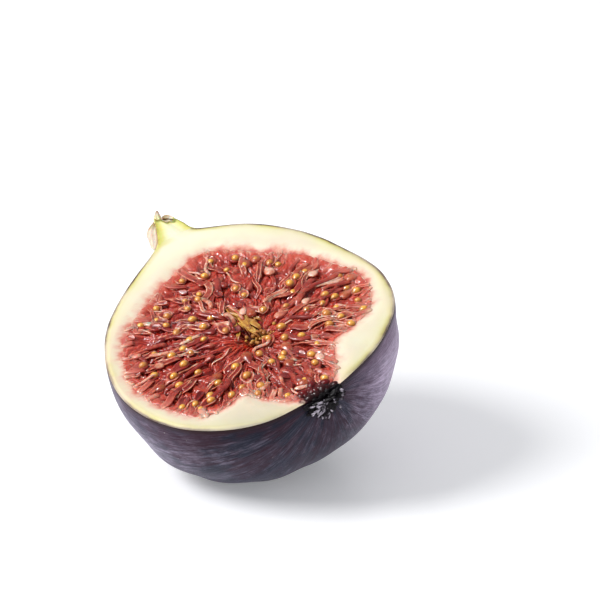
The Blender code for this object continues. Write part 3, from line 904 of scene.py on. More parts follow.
spoke = np.linspace(0, 2 * math.pi, BED_SPOKES, endpoint=False)[None, :]
ring = np.linspace(0.0, 1.0, BED_RINGS)[:, None] ** 0.75 * PAST_EDGE
reach = pulp_reach(spoke)
bed_ridge = ridges(spoke + 0 * ring, ring * reach)
edge_share = ease(0.86, 1.0, ring)
bed_z = (
    -BED_SINK * (1 - edge_share)
    + RIDGE_HEIGHT * bed_ridge * (1 - 0.75 * edge_share)
    - BED_RIM_DIP * edge_share
    - MIDDLE_HOLLOW * np.exp(-((ring / 0.12) ** 2))
    - PAST_EDGE_DIP * ease(1.0, PAST_EDGE, ring)
)
bed_top = PULP_CENTRE + flat_points(ring * reach * np.cos(spoke), ring * reach * np.sin(spoke), bed_z)
eye_share = from_eye(bed_top)
bed_top[..., 2] -= EYE_DIP * np.exp(-(eye_share**4))
lowered = np.linspace(0, math.pi / 2, BED_BOTTOM_RINGS)[:, None, None]
bed_bottom = np.array([0, 0, PULP_DEPTH]) * np.sin(lowered)
bed_under = PULP_CENTRE + (bed_top[-1] - PULP_CENTRE) * drawn_in(lowered) - bed_bottom
bed = Piece("pulp_bed")
bed.add(
    bed_top,
    closed=True,
    ridge=bed_ridge,
    from_edge=(1 - ring) * reach,
    from_middle=ring * reach,
    from_eye=eye_share,
    grain=spokes(bed_top),
)
bed.add(
    bed_under,
    closed=True,
    ridge=0.2,
    from_edge=0.0,
    from_middle=FAR,
    from_eye=FAR,
    grain=spokes(bed_under),
)
bed.make([pulp.material], ["pulp"])

# %% [markdown]
# ## Floret finish
#
# What looks like pulp is hundreds of flowers turned inwards. Each hangs from the wall on a pale stalk that
# swells into a sac, and the sac may hold a seed. Their flesh is the bed's, but thinner. Their closed tops
# and open rims are painted pale, partly as that thin flesh's own tone and partly as painted highlight, and
# their insides and roots are painted dark as shade. One finish serves them all: each point carries how lit
# it is, and each floret its own paleness.

# %% Floret finish
SIDE_CORAL, ROOT_RED, ROOT_CORAL = (0.600, 0.150, 0.095), (0.580, 0.120, 0.080), (0.580, 0.170, 0.125)
ROOT_CREAM, SEED_GLOW = (0.660, 0.420, 0.310), (0.380, 0.100, 0.026)

floret = Finish(
    "floret_flesh",
    Roughness=0.30,
    Specular_IOR_Level=0.15,
    Subsurface_Weight=0.8,
    Subsurface_Radius=(1.0, 0.28, 0.18),
    Subsurface_Scale=0.0008,
    Coat_Weight=0.30,
    Coat_Roughness=0.05,
)
floret_noise = floret.noise(floret.place(), scale=1300.0, detail=3.0)
# lit is painted light and shade: pale on tops and open rims, dark inside, at the roots and underneath
lit = floret.value("lit")
own_paleness = floret.fit(floret.value("tint"), 0.0, 1.0, 0.15, 1.0)
paleness = floret.math("MULTIPLY", lit, own_paleness)
floret_patch = floret.noise(floret.place(), scale=420.0, detail=2.0)
paleness = floret.stir(paleness, floret_noise, 0.12)
paleness = floret.stir(paleness, floret_patch, 0.12)
paleness = floret.math("ADD", paleness, floret.sideways(-0.06, 0.13))
floret_tone = floret.ramp(
    paleness,
    (0.00, (0.150, 0.004, 0.004)),
    (0.25, (0.205, 0.008, 0.006)),
    (0.48, (0.300, 0.030, 0.017)),
    (0.76, (0.510, 0.185, 0.110)),
    (1.00, (0.690, 0.470, 0.370)),
)
root_edge = floret.stir(floret.value("from_edge"), floret_noise, 0.4)
to_side = floret.sideways(0.0, 1.0)
less_ripe = floret.math("MULTIPLY", to_side, floret.fit(floret_patch, 0.3, 0.7, 0.05, 0.30))
floret_tone = floret.mix(less_ripe, floret_tone, SIDE_CORAL)
floret_tone = floret.over(floret_tone, ROOT_RED, root_edge, 0.5, 6.5, 0.22)
floret_tone = floret.over(floret_tone, ROOT_CORAL, root_edge, 0.3, 3.4, 0.6)
floret_tone = floret.over(floret_tone, ROOT_CREAM, root_edge, -1.0, 0.8, 0.9)
floret_tone = floret.mix(floret.value("glow"), floret_tone, SEED_GLOW)
floret.colour(floret_tone)

# %% [markdown]
# ## How florets lie
#
# Neighbouring florets lie alike, as grass does after wind. Placed one by one at random they would look like
# spilt rice. So one slow swirl, made of noise, turns the outward direction a little from place to place.
# Each floret's line starts at its head and walks outwards along that direction, until it is long enough or
# reaches the wall.

# %% How florets lie
FLORET_SEED = 5
SWIRL = 1.0
SWIRL_SIZES = ((6.5, 3.1, 1.0), (2.8, 8.7, 0.5))  # (size in mm, where in the noise, strength)
ROOT_IN_FLESH = 1.2  # how far a root may reach into the white flesh, mm
EYE_CLEAR = 1.5  # florets keep this far from the eye, where 1 is the rim of its black
WALK = 0.25  # the length of one step of a line, mm
draw = random.Random(FLORET_SEED)


def outward_at(x, y):
    """The way a floret runs outwards at a place on the cut, and how far that is past the pulp's edge."""
    dx, dy = x - PULP_CENTRE[0], y - PULP_CENTRE[1]
    direction = math.atan2(dy, dx)
    reached = float(pulp_reach(direction))
    share = math.hypot(dx, dy) / reached
    slow = sum(strength * noise.noise((x / size, y / size, where)) for size, where, strength in SWIRL_SIZES)
    return direction + SWIRL * slow * (1.3 - 0.8 * min(share, 1.0)), math.hypot(dx, dy) - reached


def floret_line(x, y, length, turned=0.0):
    """Points from the root of a floret to its head at (x, y). It stops short of the pith and of the eye."""
    line = [(x, y)]
    while (len(line) - 1) * WALK < length:
        way, past_edge = outward_at(x, y)
        if past_edge > ROOT_IN_FLESH or float(from_eye(np.array([x, y, 0.0]))) < EYE_CLEAR:
            break
        way += turned * (1 - (len(line) - 1) * WALK / length)
        x, y = x + WALK * math.cos(way), y + WALK * math.sin(way)
        line.append((x, y))
    return np.array(line[::-1])


def beside_of(path):
    """The direction square to a flat path, at each of its points."""
    ahead = np.gradient(path, axis=0)
    ahead /= np.linalg.norm(ahead, axis=1)[:, None]
    return np.stack([-ahead[:, 1], ahead[:, 0]], -1)


def inside_edge(grid):
    """How far each point is from the pulp's edge, counted inwards."""
    direction = np.arctan2(grid[..., 1] - PULP_CENTRE[1], grid[..., 0] - PULP_CENTRE[0])
    return pulp_reach(direction) - np.linalg.norm(grid[..., :2] - PULP_CENTRE[:2], axis=-1)


trial = floret_line(PULP_CENTRE[0] + 8.0, PULP_CENTRE[1], 5.0)
print("a line of 5 mm has", len(trial), "points")

# %% [markdown]
# ## The shape of a floret
#
# The knife has laid the florets open, so some are round and closed, and some are little boats with a pale
# rim and a dark inside. One function makes them all: it sweeps a round cross-section along a line, thin at
# the root and full at the head, and presses its top in by as much as the floret is open. Strands are the
# florets' stalks: flat ribbons that come up out of the bed, snake, and dive back in. Metaballs would melt
# them into one another.

# %% The shape of a floret
NECK = 0.3  # how wide a floret's root is, as a share of its head
SUNK = -1.1  # where a ribbon's ends are, under the bed's ridges


def dented(up, gape):
    """The height of a round cross-section whose top is pressed in by gape, from 0 to 1."""
    return np.where(up > 0, (1 - gape) * up + gape * (1.9 * up - 2.3 * up**3), up)


def floret_tube(piece, line, width, height, rise, opened, tone, glow=0.0, rows=18, around=14):
    """Sweeps a floret along its line, opened from 0 to 1.

    width and height are half sizes, and rise is (root, head) in z.
    """
    path, _ = even_curve(line, rows)
    t = np.linspace(0.0, 1.0, rows)
    # how full it is along its length: a thin neck, then a round head
    head = min(0.45, 1.1 * width / max(0.25 * len(line), 0.5))
    swollen = NECK + (1 - NECK) * ease(0.2, 1 - head, t)
    rounded = np.sqrt(np.clip(1 - ((t - (1 - head)) / head) ** 2, 0, 1)) * (t > 1 - head) + (t <= 1 - head)
    body = swollen * rounded * ease(-0.02, 0.12, t)
    # the cross-section, and where its top is pressed in
    a = np.linspace(0, 2 * math.pi, around, endpoint=False)[None, :]
    up = np.sin(a)
    gape = (opened * ease(0.30, 0.60, t) * (1 - ease(0.92, 1.0, t)))[:, None]
    across = (np.cos(a) * body[:, None])[..., None] * width * beside_of(path)[:, None, :]
    risen = rise[0] + (rise[1] - rise[0]) * ease(0.0, 0.7, t)[:, None]
    z = risen + dented(up, gape) * body[:, None] * height
    grid = np.concatenate([path[:, None, :] + across, z[..., None]], -1)
    # painted highlight on a closed top and an open rim, painted shade inside and at the root, warm round a
    # seed
    closed = ease(-0.1, 0.95, up)
    rim = np.exp(-(((up - 0.50) / 0.30) ** 2)) * (up > -0.1)
    lit = ((1 - gape) * closed + gape * rim) * (0.45 + 0.55 * ease(0.0, 0.45, t))[:, None]
    warm = glow * np.exp(-(((t - 1 + 0.9 * head) / (0.8 * head)) ** 2))[:, None] * ease(0.1, 0.9, up)
    piece.add(grid, closed=True, lit=lit, tint=tone, glow=warm, from_edge=inside_edge(grid))
    return path


def ribbon(piece, line, width, height, crest, tone, bow, waves, gutter, blunt=8, rows=32, around=12):
    """Sweeps a flat strand that comes up out of the bed, snakes from side to side and dives back in."""
    path, _ = even_curve(line, rows)
    t = np.linspace(0.0, 1.0, rows)
    path = path + beside_of(path) * (bow * np.sin(2 * math.pi * waves * t) * ease(0.0, 0.2, t))[:, None]
    arch = ease(0.0, 0.25, t) * (1 - ease(0.75, 1.0, t))
    body = (0.30 + 0.70 * arch) * np.sqrt(np.clip(1 - (2 * t - 1) ** blunt, 0, 1))
    a = np.linspace(0, 2 * math.pi, around, endpoint=False)[None, :]
    up = np.sin(a)
    across = (np.cos(a) * body[:, None])[..., None] * width * beside_of(path)[:, None, :]
    z = SUNK + (crest - SUNK) * arch[:, None] + dented(up, gutter) * body[:, None] * height
    grid = np.concatenate([path[:, None, :] + across, z[..., None]], -1)
    # painted light and shade: pale on top, dark in the gutter and towards the ends that dive into the bed
    lit = ease(-0.3, 0.5, up) * (1 - 0.80 * gutter * ease(0.45, 0.95, up)) * (0.15 + 0.85 * arch[:, None])
    piece.add(grid, closed=True, lit=lit, tint=tone, glow=0.0, from_edge=inside_edge(grid))


print("a floret's top, closed and open:", dented(np.array(1.0), 0.0), dented(np.array(1.0), 1.0).round(2))

# %% [markdown]
# ## Where florets stand
#
# Seeds must not overlap, and strands must not crowd. Each kind is scattered by trial: a random spot is kept
# if it is far enough from the others. A particle system would scatter them faster, but it doesn't know of
# the eye and the wall. The generator has a fixed seed, so it is the same fig each time.

# %% Where florets stand
SEEDED, SACS, STRANDS, FILAMENTS = 92, 62, 165, 40  # how many
SEEDED_APART, SACS_APART, STRANDS_APART, FILAMENTS_APART = 1.75, 1.7, 1.05, 2.0  # at least, mm
TRIES_EACH = 60


def scattered(count, apart, shares, taken=()):
    """Random places on the pulp, clear of the eye and at least `apart` from one another and those taken."""
    found, tries = [], 0
    while len(found) < count and tries < TRIES_EACH * count:
        tries += 1
        direction = draw.uniform(0, 2 * math.pi)
        share = math.sqrt(draw.uniform(shares[0] ** 2, shares[1] ** 2))
        reached = share * float(pulp_reach(direction))
        x = PULP_CENTRE[0] + reached * math.cos(direction)
        y = PULP_CENTRE[1] + reached * math.sin(direction)
        spot = (x, y)
        clear = float(from_eye(np.array([x, y, 0.0]))) > EYE_CLEAR + 0.5
        if clear and all(math.dist(spot, other) > apart for other in [*found, *taken]):
            found.append(spot)
    return found


seed_spots = scattered(SEEDED, SEEDED_APART, (0.12, 0.91))
sac_spots = scattered(SACS, SACS_APART, (0.08, 0.95), seed_spots)
strand_spots = scattered(STRANDS, STRANDS_APART, (0.10, 0.98))
print(f"{len(seed_spots)} florets with a seed, {len(sac_spots)} without, {len(strand_spots)} strands")

# %% [markdown]
# ## Seed finish
#
# A fig's seeds are small nutlets, golden brown and glossy. Each is painted light on top and dark where it
# turns away beneath, as painted light and shade, and darker towards the point it hangs from. The clear coat
# gives the hard little sparkle that wet pulp has round them. A share of the seeds is browner than the rest,
# which each seed carries as its tint.

# %% Seed finish
SEED_BROWN = (0.420, 0.110, 0.030)

seed = Finish(
    "seed_gold",
    Roughness=0.30,
    Specular_IOR_Level=0.3,
    Coat_Weight=0.5,
    Coat_Roughness=0.06,
    Subsurface_Weight=0.25,
    Subsurface_Radius=(1.0, 0.5, 0.15),
    Subsurface_Scale=0.0004,
)
seed_noise = seed.noise(seed.place(), scale=1500.0, detail=3.0)
# the ramp runs from painted shade underneath to painted light on top
seed_tone = seed.ramp(
    seed.stir(seed.value("belly"), seed_noise, 0.12),
    (0.00, (0.080, 0.010, 0.003)),
    (0.45, (0.260, 0.060, 0.006)),
    (0.75, (0.580, 0.230, 0.018)),
    (1.00, (0.780, 0.395, 0.052)),
)
browner = seed.fit(seed.value("tint"), 0.0, 1.0, 0.0, 0.55)
seed.colour(seed.mix(browner, seed_tone, SEED_BROWN))

# %% [markdown]
# ## The shape of a seed
#
# Each seed sits in the round head of its floret, about half out of it. It is a turned ellipsoid with its
# far end drawn in a little, because a plain ball would look like a bead. The dark beads by the eye use it
# again later.

# %% The shape of a seed
SEED_HALF = (0.68, 0.84, 0.60)  # half its width, length and height
SEED_RINGS, SEED_SIDES = 14, 18


def seed_ball(piece, spot, heading, z, size, tone):
    """A seed at a spot, its length along heading: drawn in and darker at the far end, painted light on top.
    """
    lat = np.linspace(-math.pi / 2, math.pi / 2, SEED_RINGS)[:, None]
    lon = np.linspace(0, 2 * math.pi, SEED_SIDES, endpoint=False)[None, :]
    along = np.sin(lat) + 0 * lon
    pinch = 1 - 0.18 * ease(0.0, 1.0, along)
    side, rise = np.cos(lat) * np.cos(lon) * pinch, np.cos(lat) * np.sin(lon) * pinch
    width, length, height = (half * size for half in SEED_HALF)
    cos, sin = math.cos(heading), math.sin(heading)
    x = spot[0] + along * length * cos - side * width * sin
    y = spot[1] + along * length * sin + side * width * cos
    # painted light and shade: lighter on top, darker underneath, and darker towards the far end
    belly = 0.5 + 0.5 * rise - 0.25 * np.maximum(along, 0)
    piece.add(flat_points(x, y, z + rise * height), closed=True, belly=belly, tint=tone)


print("a seed is, mm:", [2 * half for half in SEED_HALF])

# %% [markdown]
# ## Florets with a seed
#
# The knife left three kinds. In a bare floret the seed lies in a half open boat. A hooded one is cut wide
# open, with a pale rim round the seed. A veiled one is still closed, and its seed shines through the skin
# as a warm spot.

# %% Florets with a seed
KINDS = ("bare", "bare", "bare", "hooded", "hooded", "hooded", "veiled")
# how far open each kind is, how high its seed lies, and how much the seed glows through
KIND_LOOKS = {
    "bare": (0.7, 0.05, 0.0),
    "hooded": (1.0, -0.06, 0.0),
    "veiled": (0.0, -0.16, 0.6),
}
FEWEST_POINTS = 6  # a line shorter than this is too close to the pith or the eye to carry a floret

florets = Piece("floret_sacs")
seeds = Piece("seeds")
for x, y in seed_spots:
    kind = draw.choice(KINDS)
    line = floret_line(x, y, draw.uniform(3.4, 6.4), draw.uniform(-0.8, 0.8))
    size = draw.uniform(0.82, 1.16)
    lift = draw.uniform(-0.60, -0.10)
    width = draw.uniform(0.95, 1.35) * size
    tone = draw.uniform(0.60, 1.0) if kind == "hooded" else draw.uniform(0.10, 0.50)
    if len(line) < FEWEST_POINTS:
        continue
    opened, seed_lift, glow = KIND_LOOKS[kind]
    path = floret_tube(florets, line, width, 0.56, (-0.70, lift - 0.10), opened, tone, glow=glow)
    back = path[-1] - path[-4]
    heading = math.atan2(back[1], back[0])
    middle = path[-1] - 0.92 * size * np.array([math.cos(heading), math.sin(heading)])
    turned = heading + draw.uniform(-0.5, 0.5)
    seed_ball(seeds, middle, turned, lift + seed_lift, size, draw.random() ** 1.3)
print("seeds:", len(seeds.points))

# %% [markdown]
# ## Florets without a seed
#
# Many florets are empty. They are narrower and flatter, and some are still closed. They fill the room
# between the seeded ones, so the pulp looks packed.

# %% Florets without a seed
for x, y in sac_spots:
    line = floret_line(x, y, draw.uniform(2.6, 4.8), draw.uniform(-0.7, 0.7))
    if len(line) < FEWEST_POINTS:
        continue
    width, height = draw.uniform(0.60, 1.15), draw.uniform(0.34, 0.50)
    rise = (-0.75, draw.uniform(-0.55, -0.15))
    opened = draw.choice((0.0, 0.6, 1.0, 1.0))
    floret_tube(florets, line, width, height, rise, opened, draw.random() ** 1.3)
print("florets, with a seed or without:", len(florets.points))

# %% [markdown]
# ## Strands and filaments
#
# The florets' stalks show between the heads as wavy strands, some flat and pale on top, some with a gutter
# along them that is painted dark, as shade. On the wide flank they run longer, and left of the eye they are
# paler. Filaments are the thinnest ones, for the fine detail between the strands.

# %% Strands and filaments
LONG_SIDE = (8.0, 33.0)  # right of this x and below this y the strands run longer
LONGER = 1.4
FEWEST_IN_STRAND = 10

strands = Piece("floret_strands")
for x, y in strand_spots:
    stretched = LONGER if x > LONG_SIDE[0] and y < LONG_SIDE[1] else 1.0
    line = floret_line(x, y, draw.uniform(4.6, 9.5) * stretched, draw.uniform(-0.7, 0.7))
    bow, width, tone = draw.uniform(-0.9, 0.9), draw.uniform(0.30, 0.72), draw.random() ** 1.2
    height, crest = draw.uniform(0.24, 0.36), draw.uniform(-0.50, -0.10)
    gutter = draw.choice((0.0, 0.5, 0.8))
    pale = float((1 - ease(9.0, 17.0, y)) * (1 - ease(-4.0, 2.0, x)))
    if len(line) > FEWEST_IN_STRAND:
        tone = max(tone * (1.15 - 0.55 * width), gutter) + 0.5 * pale
        gutter = gutter * (1 - 0.7 * pale)
        ribbon(strands, line, width, height, crest, tone, bow, draw.uniform(0.7, 1.2), gutter)

for x, y in scattered(FILAMENTS, FILAMENTS_APART, (0.12, 0.94)):
    line = floret_line(x, y, draw.uniform(3.5, 8.0), draw.uniform(-0.8, 0.8))
    bow, width, tone = draw.uniform(-0.6, 0.6), draw.uniform(0.14, 0.26), draw.uniform(0.55, 0.90)
    height, crest = draw.uniform(0.14, 0.22), draw.uniform(-0.55, -0.25)
    if len(line) > FEWEST_IN_STRAND:
        waves = draw.uniform(0.8, 1.6)
        ribbon(strands, line, width, height, crest, tone, bow, waves, gutter=0.0, rows=36, around=8)
print("strands and filaments:", len(strands.points))

florets.make([floret.material])
strands.make([floret.material])
seeds.make([seed.material])

# %% [markdown]
# ## Yellow styles in the middle
#
# In the very middle the florets' tips meet as a tuft of dry, yellow-brown threads over a small dark hollow.
# The large blades are placed one by one, because they make the shape of the tuft. Thin ones are strewn
# among them, and brown grains lie at its foot. A blade is a ribbon again, straighter and more pointed than
# a strand.

# %% Style finish
style = Finish(
    "style_yellow",
    Roughness=0.40,
    Specular_IOR_Level=0.2,
    Coat_Weight=0.2,
    Subsurface_Weight=0.4,
    Subsurface_Radius=(1.0, 0.6, 0.2),
    Subsurface_Scale=0.0005,
)
# painted light and shade: lit is pale on the blades' tops, dark in their gutters and ends, and on the
# grains' undersides
style_tone = style.ramp(
    style.stir(style.value("lit"), style.noise(style.place(), 900.0), 0.30),
    (0.0, (0.110, 0.016, 0.004)),
    (0.45, (0.340, 0.110, 0.018)),
    (1.0, (0.560, 0.320, 0.050)),
)
style.colour(style_tone)

# %% Styles in the middle
# (middle x, middle y, way it lies in degrees, half length, half width, crest)
BLADES = [
    (-0.5, 34.2, 97, 3.4, 0.50, -0.50),
    (0.8, 32.6, 104, 3.0, 0.48, -0.45),
    (-0.1, 30.2, 88, 3.2, 0.60, -0.38),
    (1.2, 29.0, 108, 2.8, 0.52, -0.42),
    (-1.3, 30.8, 84, 2.8, 0.40, -0.55),
    (0.4, 27.6, 100, 2.4, 0.50, -0.60),
    (-2.0, 28.4, 66, 2.0, 0.35, -0.62),
    (2.2, 30.8, 122, 2.2, 0.35, -0.55),
]
THIN_BLADES, GRAINS = 14, 44
GRAIN_RINGS, GRAIN_SIDES = 7, 9
BLADE_THICK = 0.26

for k in range(THIN_BLADES):
    y = draw.uniform(26.5, 34.0)
    lie, half = draw.gauss(97, 14), draw.uniform(1.3, 2.6)
    x, width, crest = draw.gauss(0.2, 0.9), draw.uniform(0.16, 0.30), draw.uniform(-0.45, -0.12)
    BLADES.append((x, y, lie, half, width, crest))

styles = Piece("middle_styles")
for x, y, lie, half, width, crest in BLADES:
    lie = math.radians(lie)
    along = np.linspace(-half, half, 20)
    line = np.stack([x + along * math.cos(lie), y + along * math.sin(lie)], -1)
    bow, waves = draw.uniform(-0.3, 0.3), draw.uniform(0.5, 0.9)
    gutter = draw.choice((0.4, 0.7))
    ribbon(styles, line, width, BLADE_THICK, crest, 1.0, bow, waves, gutter, blunt=2, rows=24, around=14)

lat = np.linspace(-math.pi / 2, math.pi / 2, GRAIN_RINGS)[:, None]
lon = np.linspace(0, 2 * math.pi, GRAIN_SIDES, endpoint=False)[None, :]
up = np.cos(lat) * np.sin(lon)
for k in range(GRAINS):
    x, y = draw.gauss(1.6, 1.3), draw.gauss(25.0, 0.9)
    size = draw.uniform(0.22, 0.48)
    z = draw.uniform(-1.6, -0.7)
    across, along = np.cos(lat) * np.cos(lon), np.sin(lat) + 0 * lon
    grain = flat_points(x + size * across, y + size * along, z + size * up)
    # painted light and shade: a grain is paler on top and darker underneath
    styles.add(grain, closed=True, lit=0.3 + 0.3 * up, tint=0.0, glow=0.0, from_edge=FAR)
styles.make([style.material])

# %% [markdown]
# ## Dark drupelets by the eye
#
# Just inside the eye a few florets have ripened to dark red beads. They are the seed's shape again, larger,
# nearly black next to the eye and redder away from it. None may stand out past the skin, so each is held
# back from it.

# %% Drupelets by the eye
DRUPELETS = 34
SKIN_MARGIN = 1.6  # a drupelet's middle stays this far inside the skin, mm

drupelet = Finish(
    "drupelet_dark",
    Roughness=0.35,
    Specular_IOR_Level=0.10,
    Coat_Weight=0.12,
    Coat_Roughness=0.10,
)
# painted light and shade again: like the seeds, lighter on top and darker underneath
drupelet_tone = drupelet.ramp(
    drupelet.math("SUBTRACT", drupelet.value("belly"), drupelet.value("tint")),
    (0.0, (0.006, 0.001, 0.002)),
    (0.6, (0.032, 0.001, 0.002)),
    (1.0, (0.135, 0.004, 0.006)),
)
drupelet.colour(drupelet_tone)

drupelets = Piece("eye_drupelets")
for k in range(DRUPELETS):
    x = EYE[0] + draw.uniform(-3.6, 3.1)
    y = EYE[1] + draw.uniform(1.8, 4.7) - 0.12 * abs(x - EYE[0]) ** 1.5
    y = max(y, base_height(abs(x)) + SHEAR * x + SKIN_MARGIN)
    darkness = 0.6 * ease(3.4, 1.6, y - EYE[1])
    heading, z, size = draw.uniform(0, 6.3), draw.uniform(-0.95, -0.50), draw.uniform(0.80, 1.50)
    seed_ball(drupelets, (x, y), heading, z, size, darkness)
drupelets.make([drupelet.material])

# %% [markdown]
# ## The eye
#
# The eye is the fruit's only opening, closed by rows of tiny scales that dry black, some with a grey bloom.
# Its finish is nearly black and dull, with ash grey where a scale carries it. Specular is low, because a
# black thing under a bright room is soon seen only by its shine.

# %% Eye finish
eye = Finish("eye_black", Roughness=0.5, Specular_IOR_Level=0.12)
eye_noise = eye.noise(eye.place(), scale=1300.0, detail=4.0)
eye_tone = eye.ramp(
    eye.stir(eye.value("ash"), eye_noise, 0.15),
    (0.0, (0.002, 0.001, 0.002)),
    (0.45, (0.008, 0.005, 0.008)),
    (1.0, (0.560, 0.500, 0.580)),
)
eye.colour(eye_tone)
eye.bump(eye_noise, 0.5, 0.0001)

# %% [markdown]
# ## One scale of the eye
#
# Each scale is a thin, bent, pointed flake. It lies on the skin with its tip towards the eye, lifted a
# little. The knife that halved the fig cut the scales too, so a flake that would reach above the cut is
# shortened.

# %% One scale of the eye
TRIMMED_AT = 0.35  # how far above the cut a scale may reach, mm
SHORTEST_SCALE = 0.5
SCALE_ROWS, SCALE_SIDES = 9, 8


def unit(vector):
    """The same direction, with a length of 1."""
    return np.array(vector) / np.linalg.norm(vector)


def underside(x, z):
    """A point on the skin round the eye."""
    return np.array([x, base_height(math.hypot(x, z)) + SHEAR * x, z])


def round_eye(turn, distance):
    """A point on the skin at an angle and a distance from the eye's middle."""
    return underside(EYE[0] + distance * math.cos(turn), 1.15 * distance * math.sin(turn))


def scale_flake(piece, spot, inward, outward, size, lift, ash_tone):
    """A pointed, bent flake that lies at spot, its tip inwards and lifted, trimmed by the knife."""
    length, width, thick = size
    length = min(length, max((TRIMMED_AT - spot[2]) / max(inward[2], 0.25), SHORTEST_SCALE))
    t = np.linspace(0.0, 1.0, SCALE_ROWS)[:, None]
    a = np.linspace(0, 2 * math.pi, SCALE_SIDES, endpoint=False)[None, :]
    across = np.cross(inward, outward)
    body = np.sqrt(np.clip(1 - (2 * t - 1) ** 2, 0, 1)) * (1 - 0.45 * t)
    side = np.cos(a) * body * width
    rise = np.sin(a) * body * thick + lift * t**2 * length + 0.25 * width * np.cos(a) ** 2 * body
    grid = spot + (t * length)[..., None] * inward + side[..., None] * across + rise[..., None] * outward
    piece.add(grid, closed=True, ash=ash_tone * ease(0.0, 0.5, t) + 0 * a)


print("the skin under the eye, mm:", np.round(underside(EYE[0], 0.0), 2))

# %% [markdown]
# ## The scales of the eye
#
# Cut through, the scales stand as a crumpled dark crust on the skin just under the cut. They are laid in
# rings round the eye, each turned and lifted a little at random. Slivers with grey bloom lie over them,
# more on the left than on the right. Last come the scales that the knife went through, which lie every way
# in the eye's black.

# %% The scales of the eye
SCALE_RINGS = ((0.5, 8), (1.2, 14), (1.9, 18), (2.7, 22), (3.5, 22), (4.1, 12))  # (distance, how many)
PALE_SLIVERS, CUT_SCALES = 46, 46
SKIN_OUT = unit((0.08, -1.0, -0.05))
CUT_OUT = unit((0.1, -0.2, 1.0))
SCALE_BURIED, SLIVER_RAISED = 0.6, 0.25
PALE_CUT_SHARE = 0.10

scales = Piece("eye_scale_crust")
for ring_radius, count in SCALE_RINGS:
    for k in range(count):
        turn = math.pi + math.pi * (k + 0.5 + draw.uniform(-0.35, 0.35)) / count
        spot = round_eye(turn, ring_radius * draw.uniform(0.9, 1.15))
        inward = unit((-math.cos(turn + draw.uniform(-0.6, 0.6)), 0.0, -math.sin(turn)))
        size = (draw.uniform(1.0, 2.0), draw.uniform(0.45, 0.80), draw.uniform(0.18, 0.30))
        lift, ash_tone = draw.uniform(-0.05, 0.20), draw.uniform(0.0, 0.3)
        scale_flake(scales, spot - SKIN_OUT * SCALE_BURIED, inward, SKIN_OUT, size, lift, ash_tone)
for k in range(PALE_SLIVERS):
    on_left, also_left, on_right = draw.uniform(182, 270), draw.uniform(182, 270), draw.uniform(270, 350)
    turn = math.radians(draw.choice((on_left, also_left, on_right)))
    spot = round_eye(turn, draw.uniform(1.4, 4.6))
    x, z = -math.cos(turn + draw.uniform(-0.6, 0.6)), -math.sin(turn + draw.uniform(-0.4, 0.4))
    inward = unit((x, 0.0, z))
    size = (draw.uniform(0.8, 1.6), draw.uniform(0.14, 0.30), draw.uniform(0.10, 0.18))
    lift, ash_tone = draw.uniform(0.0, 0.35), draw.uniform(0.45, 0.95)
    scale_flake(scales, spot + SKIN_OUT * SLIVER_RAISED, inward, SKIN_OUT, size, lift, ash_tone)
for k in range(CUT_SCALES):
    direction, distance = draw.uniform(0, 2 * math.pi), math.sqrt(draw.random())
    x, y = 0.9 * distance * math.cos(direction), 0.9 * distance * math.sin(direction)
    spot = EYE + EYE_REACH * (x, y, 0.0)
    spot[1] = max(spot[1], underside(spot[0], 0.0)[1])
    spot[2] = draw.uniform(-1.1, -0.5)
    inward = unit((draw.uniform(-1, 1), draw.uniform(-0.4, 0.9), draw.uniform(-0.1, 0.35)))
    pale = draw.random() < PALE_CUT_SHARE
    size = (draw.uniform(1.0, 2.0), draw.uniform(0.45, 0.85), draw.uniform(0.25, 0.45))
    if pale:
        size = (0.9, 0.25, 0.2)
        spot[2] = -0.35
    lift = draw.uniform(-0.1, 0.2)
    ash_tone = 0.9 if pale else draw.uniform(0.0, 0.12)
    scale_flake(scales, spot, inward, CUT_OUT, size, lift, ash_tone)
scales.make([eye.material], ["eye_scales"])

# %% [markdown]
# ## Stalk and bract finishes
#
# The same knife cut the stub of the stalk, so it is cream inside with a yellow-green rim, and dry and olive
# where it is torn. Bracts are the small dry leaves round it: green-yellow at the root, then straw, and
# brown at the tip. How dry a point is comes from the mesh, and fine noise keeps the bands from running
# straight.

# %% Stalk finish
DRY_OLIVE = (0.175, 0.175, 0.022)
CREAM_DEPTH = 2.5  # how far inside its rim the stub is full cream, mm

stalk = Finish(
    "stalk_green",
    Roughness=0.5,
    Specular_IOR_Level=0.3,
    Subsurface_Weight=0.25,
    Subsurface_Scale=0.0008,
)
stalk_noise = stalk.noise(stalk.place(), scale=700.0, detail=3.0)
inside = stalk.stir(stalk.value("inside"), stalk_noise, 0.12)
stalk_tone = stalk.ramp(
    stalk.math("DIVIDE", inside, CREAM_DEPTH),
    (0.00, (0.330, 0.310, 0.050)),
    (0.12, (0.540, 0.510, 0.100)),
    (0.36, (0.620, 0.590, 0.200)),
    (0.70, (0.710, 0.690, 0.420)),
    (1.00, (0.730, 0.710, 0.500)),
)
stalk.colour(stalk.mix(stalk.value("dry"), stalk_tone, DRY_OLIVE))
stalk.bump(stalk_noise, 0.4, 0.00015)

# %% Bract finish
bract = Finish(
    "bract_dry",
    Roughness=0.55,
    Specular_IOR_Level=0.3,
    Subsurface_Weight=0.35,
    Subsurface_Scale=0.0005,
)
bract_noise = bract.noise(bract.place(), scale=500.0, detail=2.0)
bract_tone = bract.ramp(
    bract.stir(bract.value("dry"), bract_noise, 0.08),
    (0.00, (0.600, 0.570, 0.130)),
    (0.30, (0.660, 0.620, 0.330)),
    (0.58, (0.580, 0.500, 0.410)),
    (0.80, (0.360, 0.280, 0.130)),
    (1.00, (0.200, 0.120, 0.030)),
)
bract.colour(bract_tone)

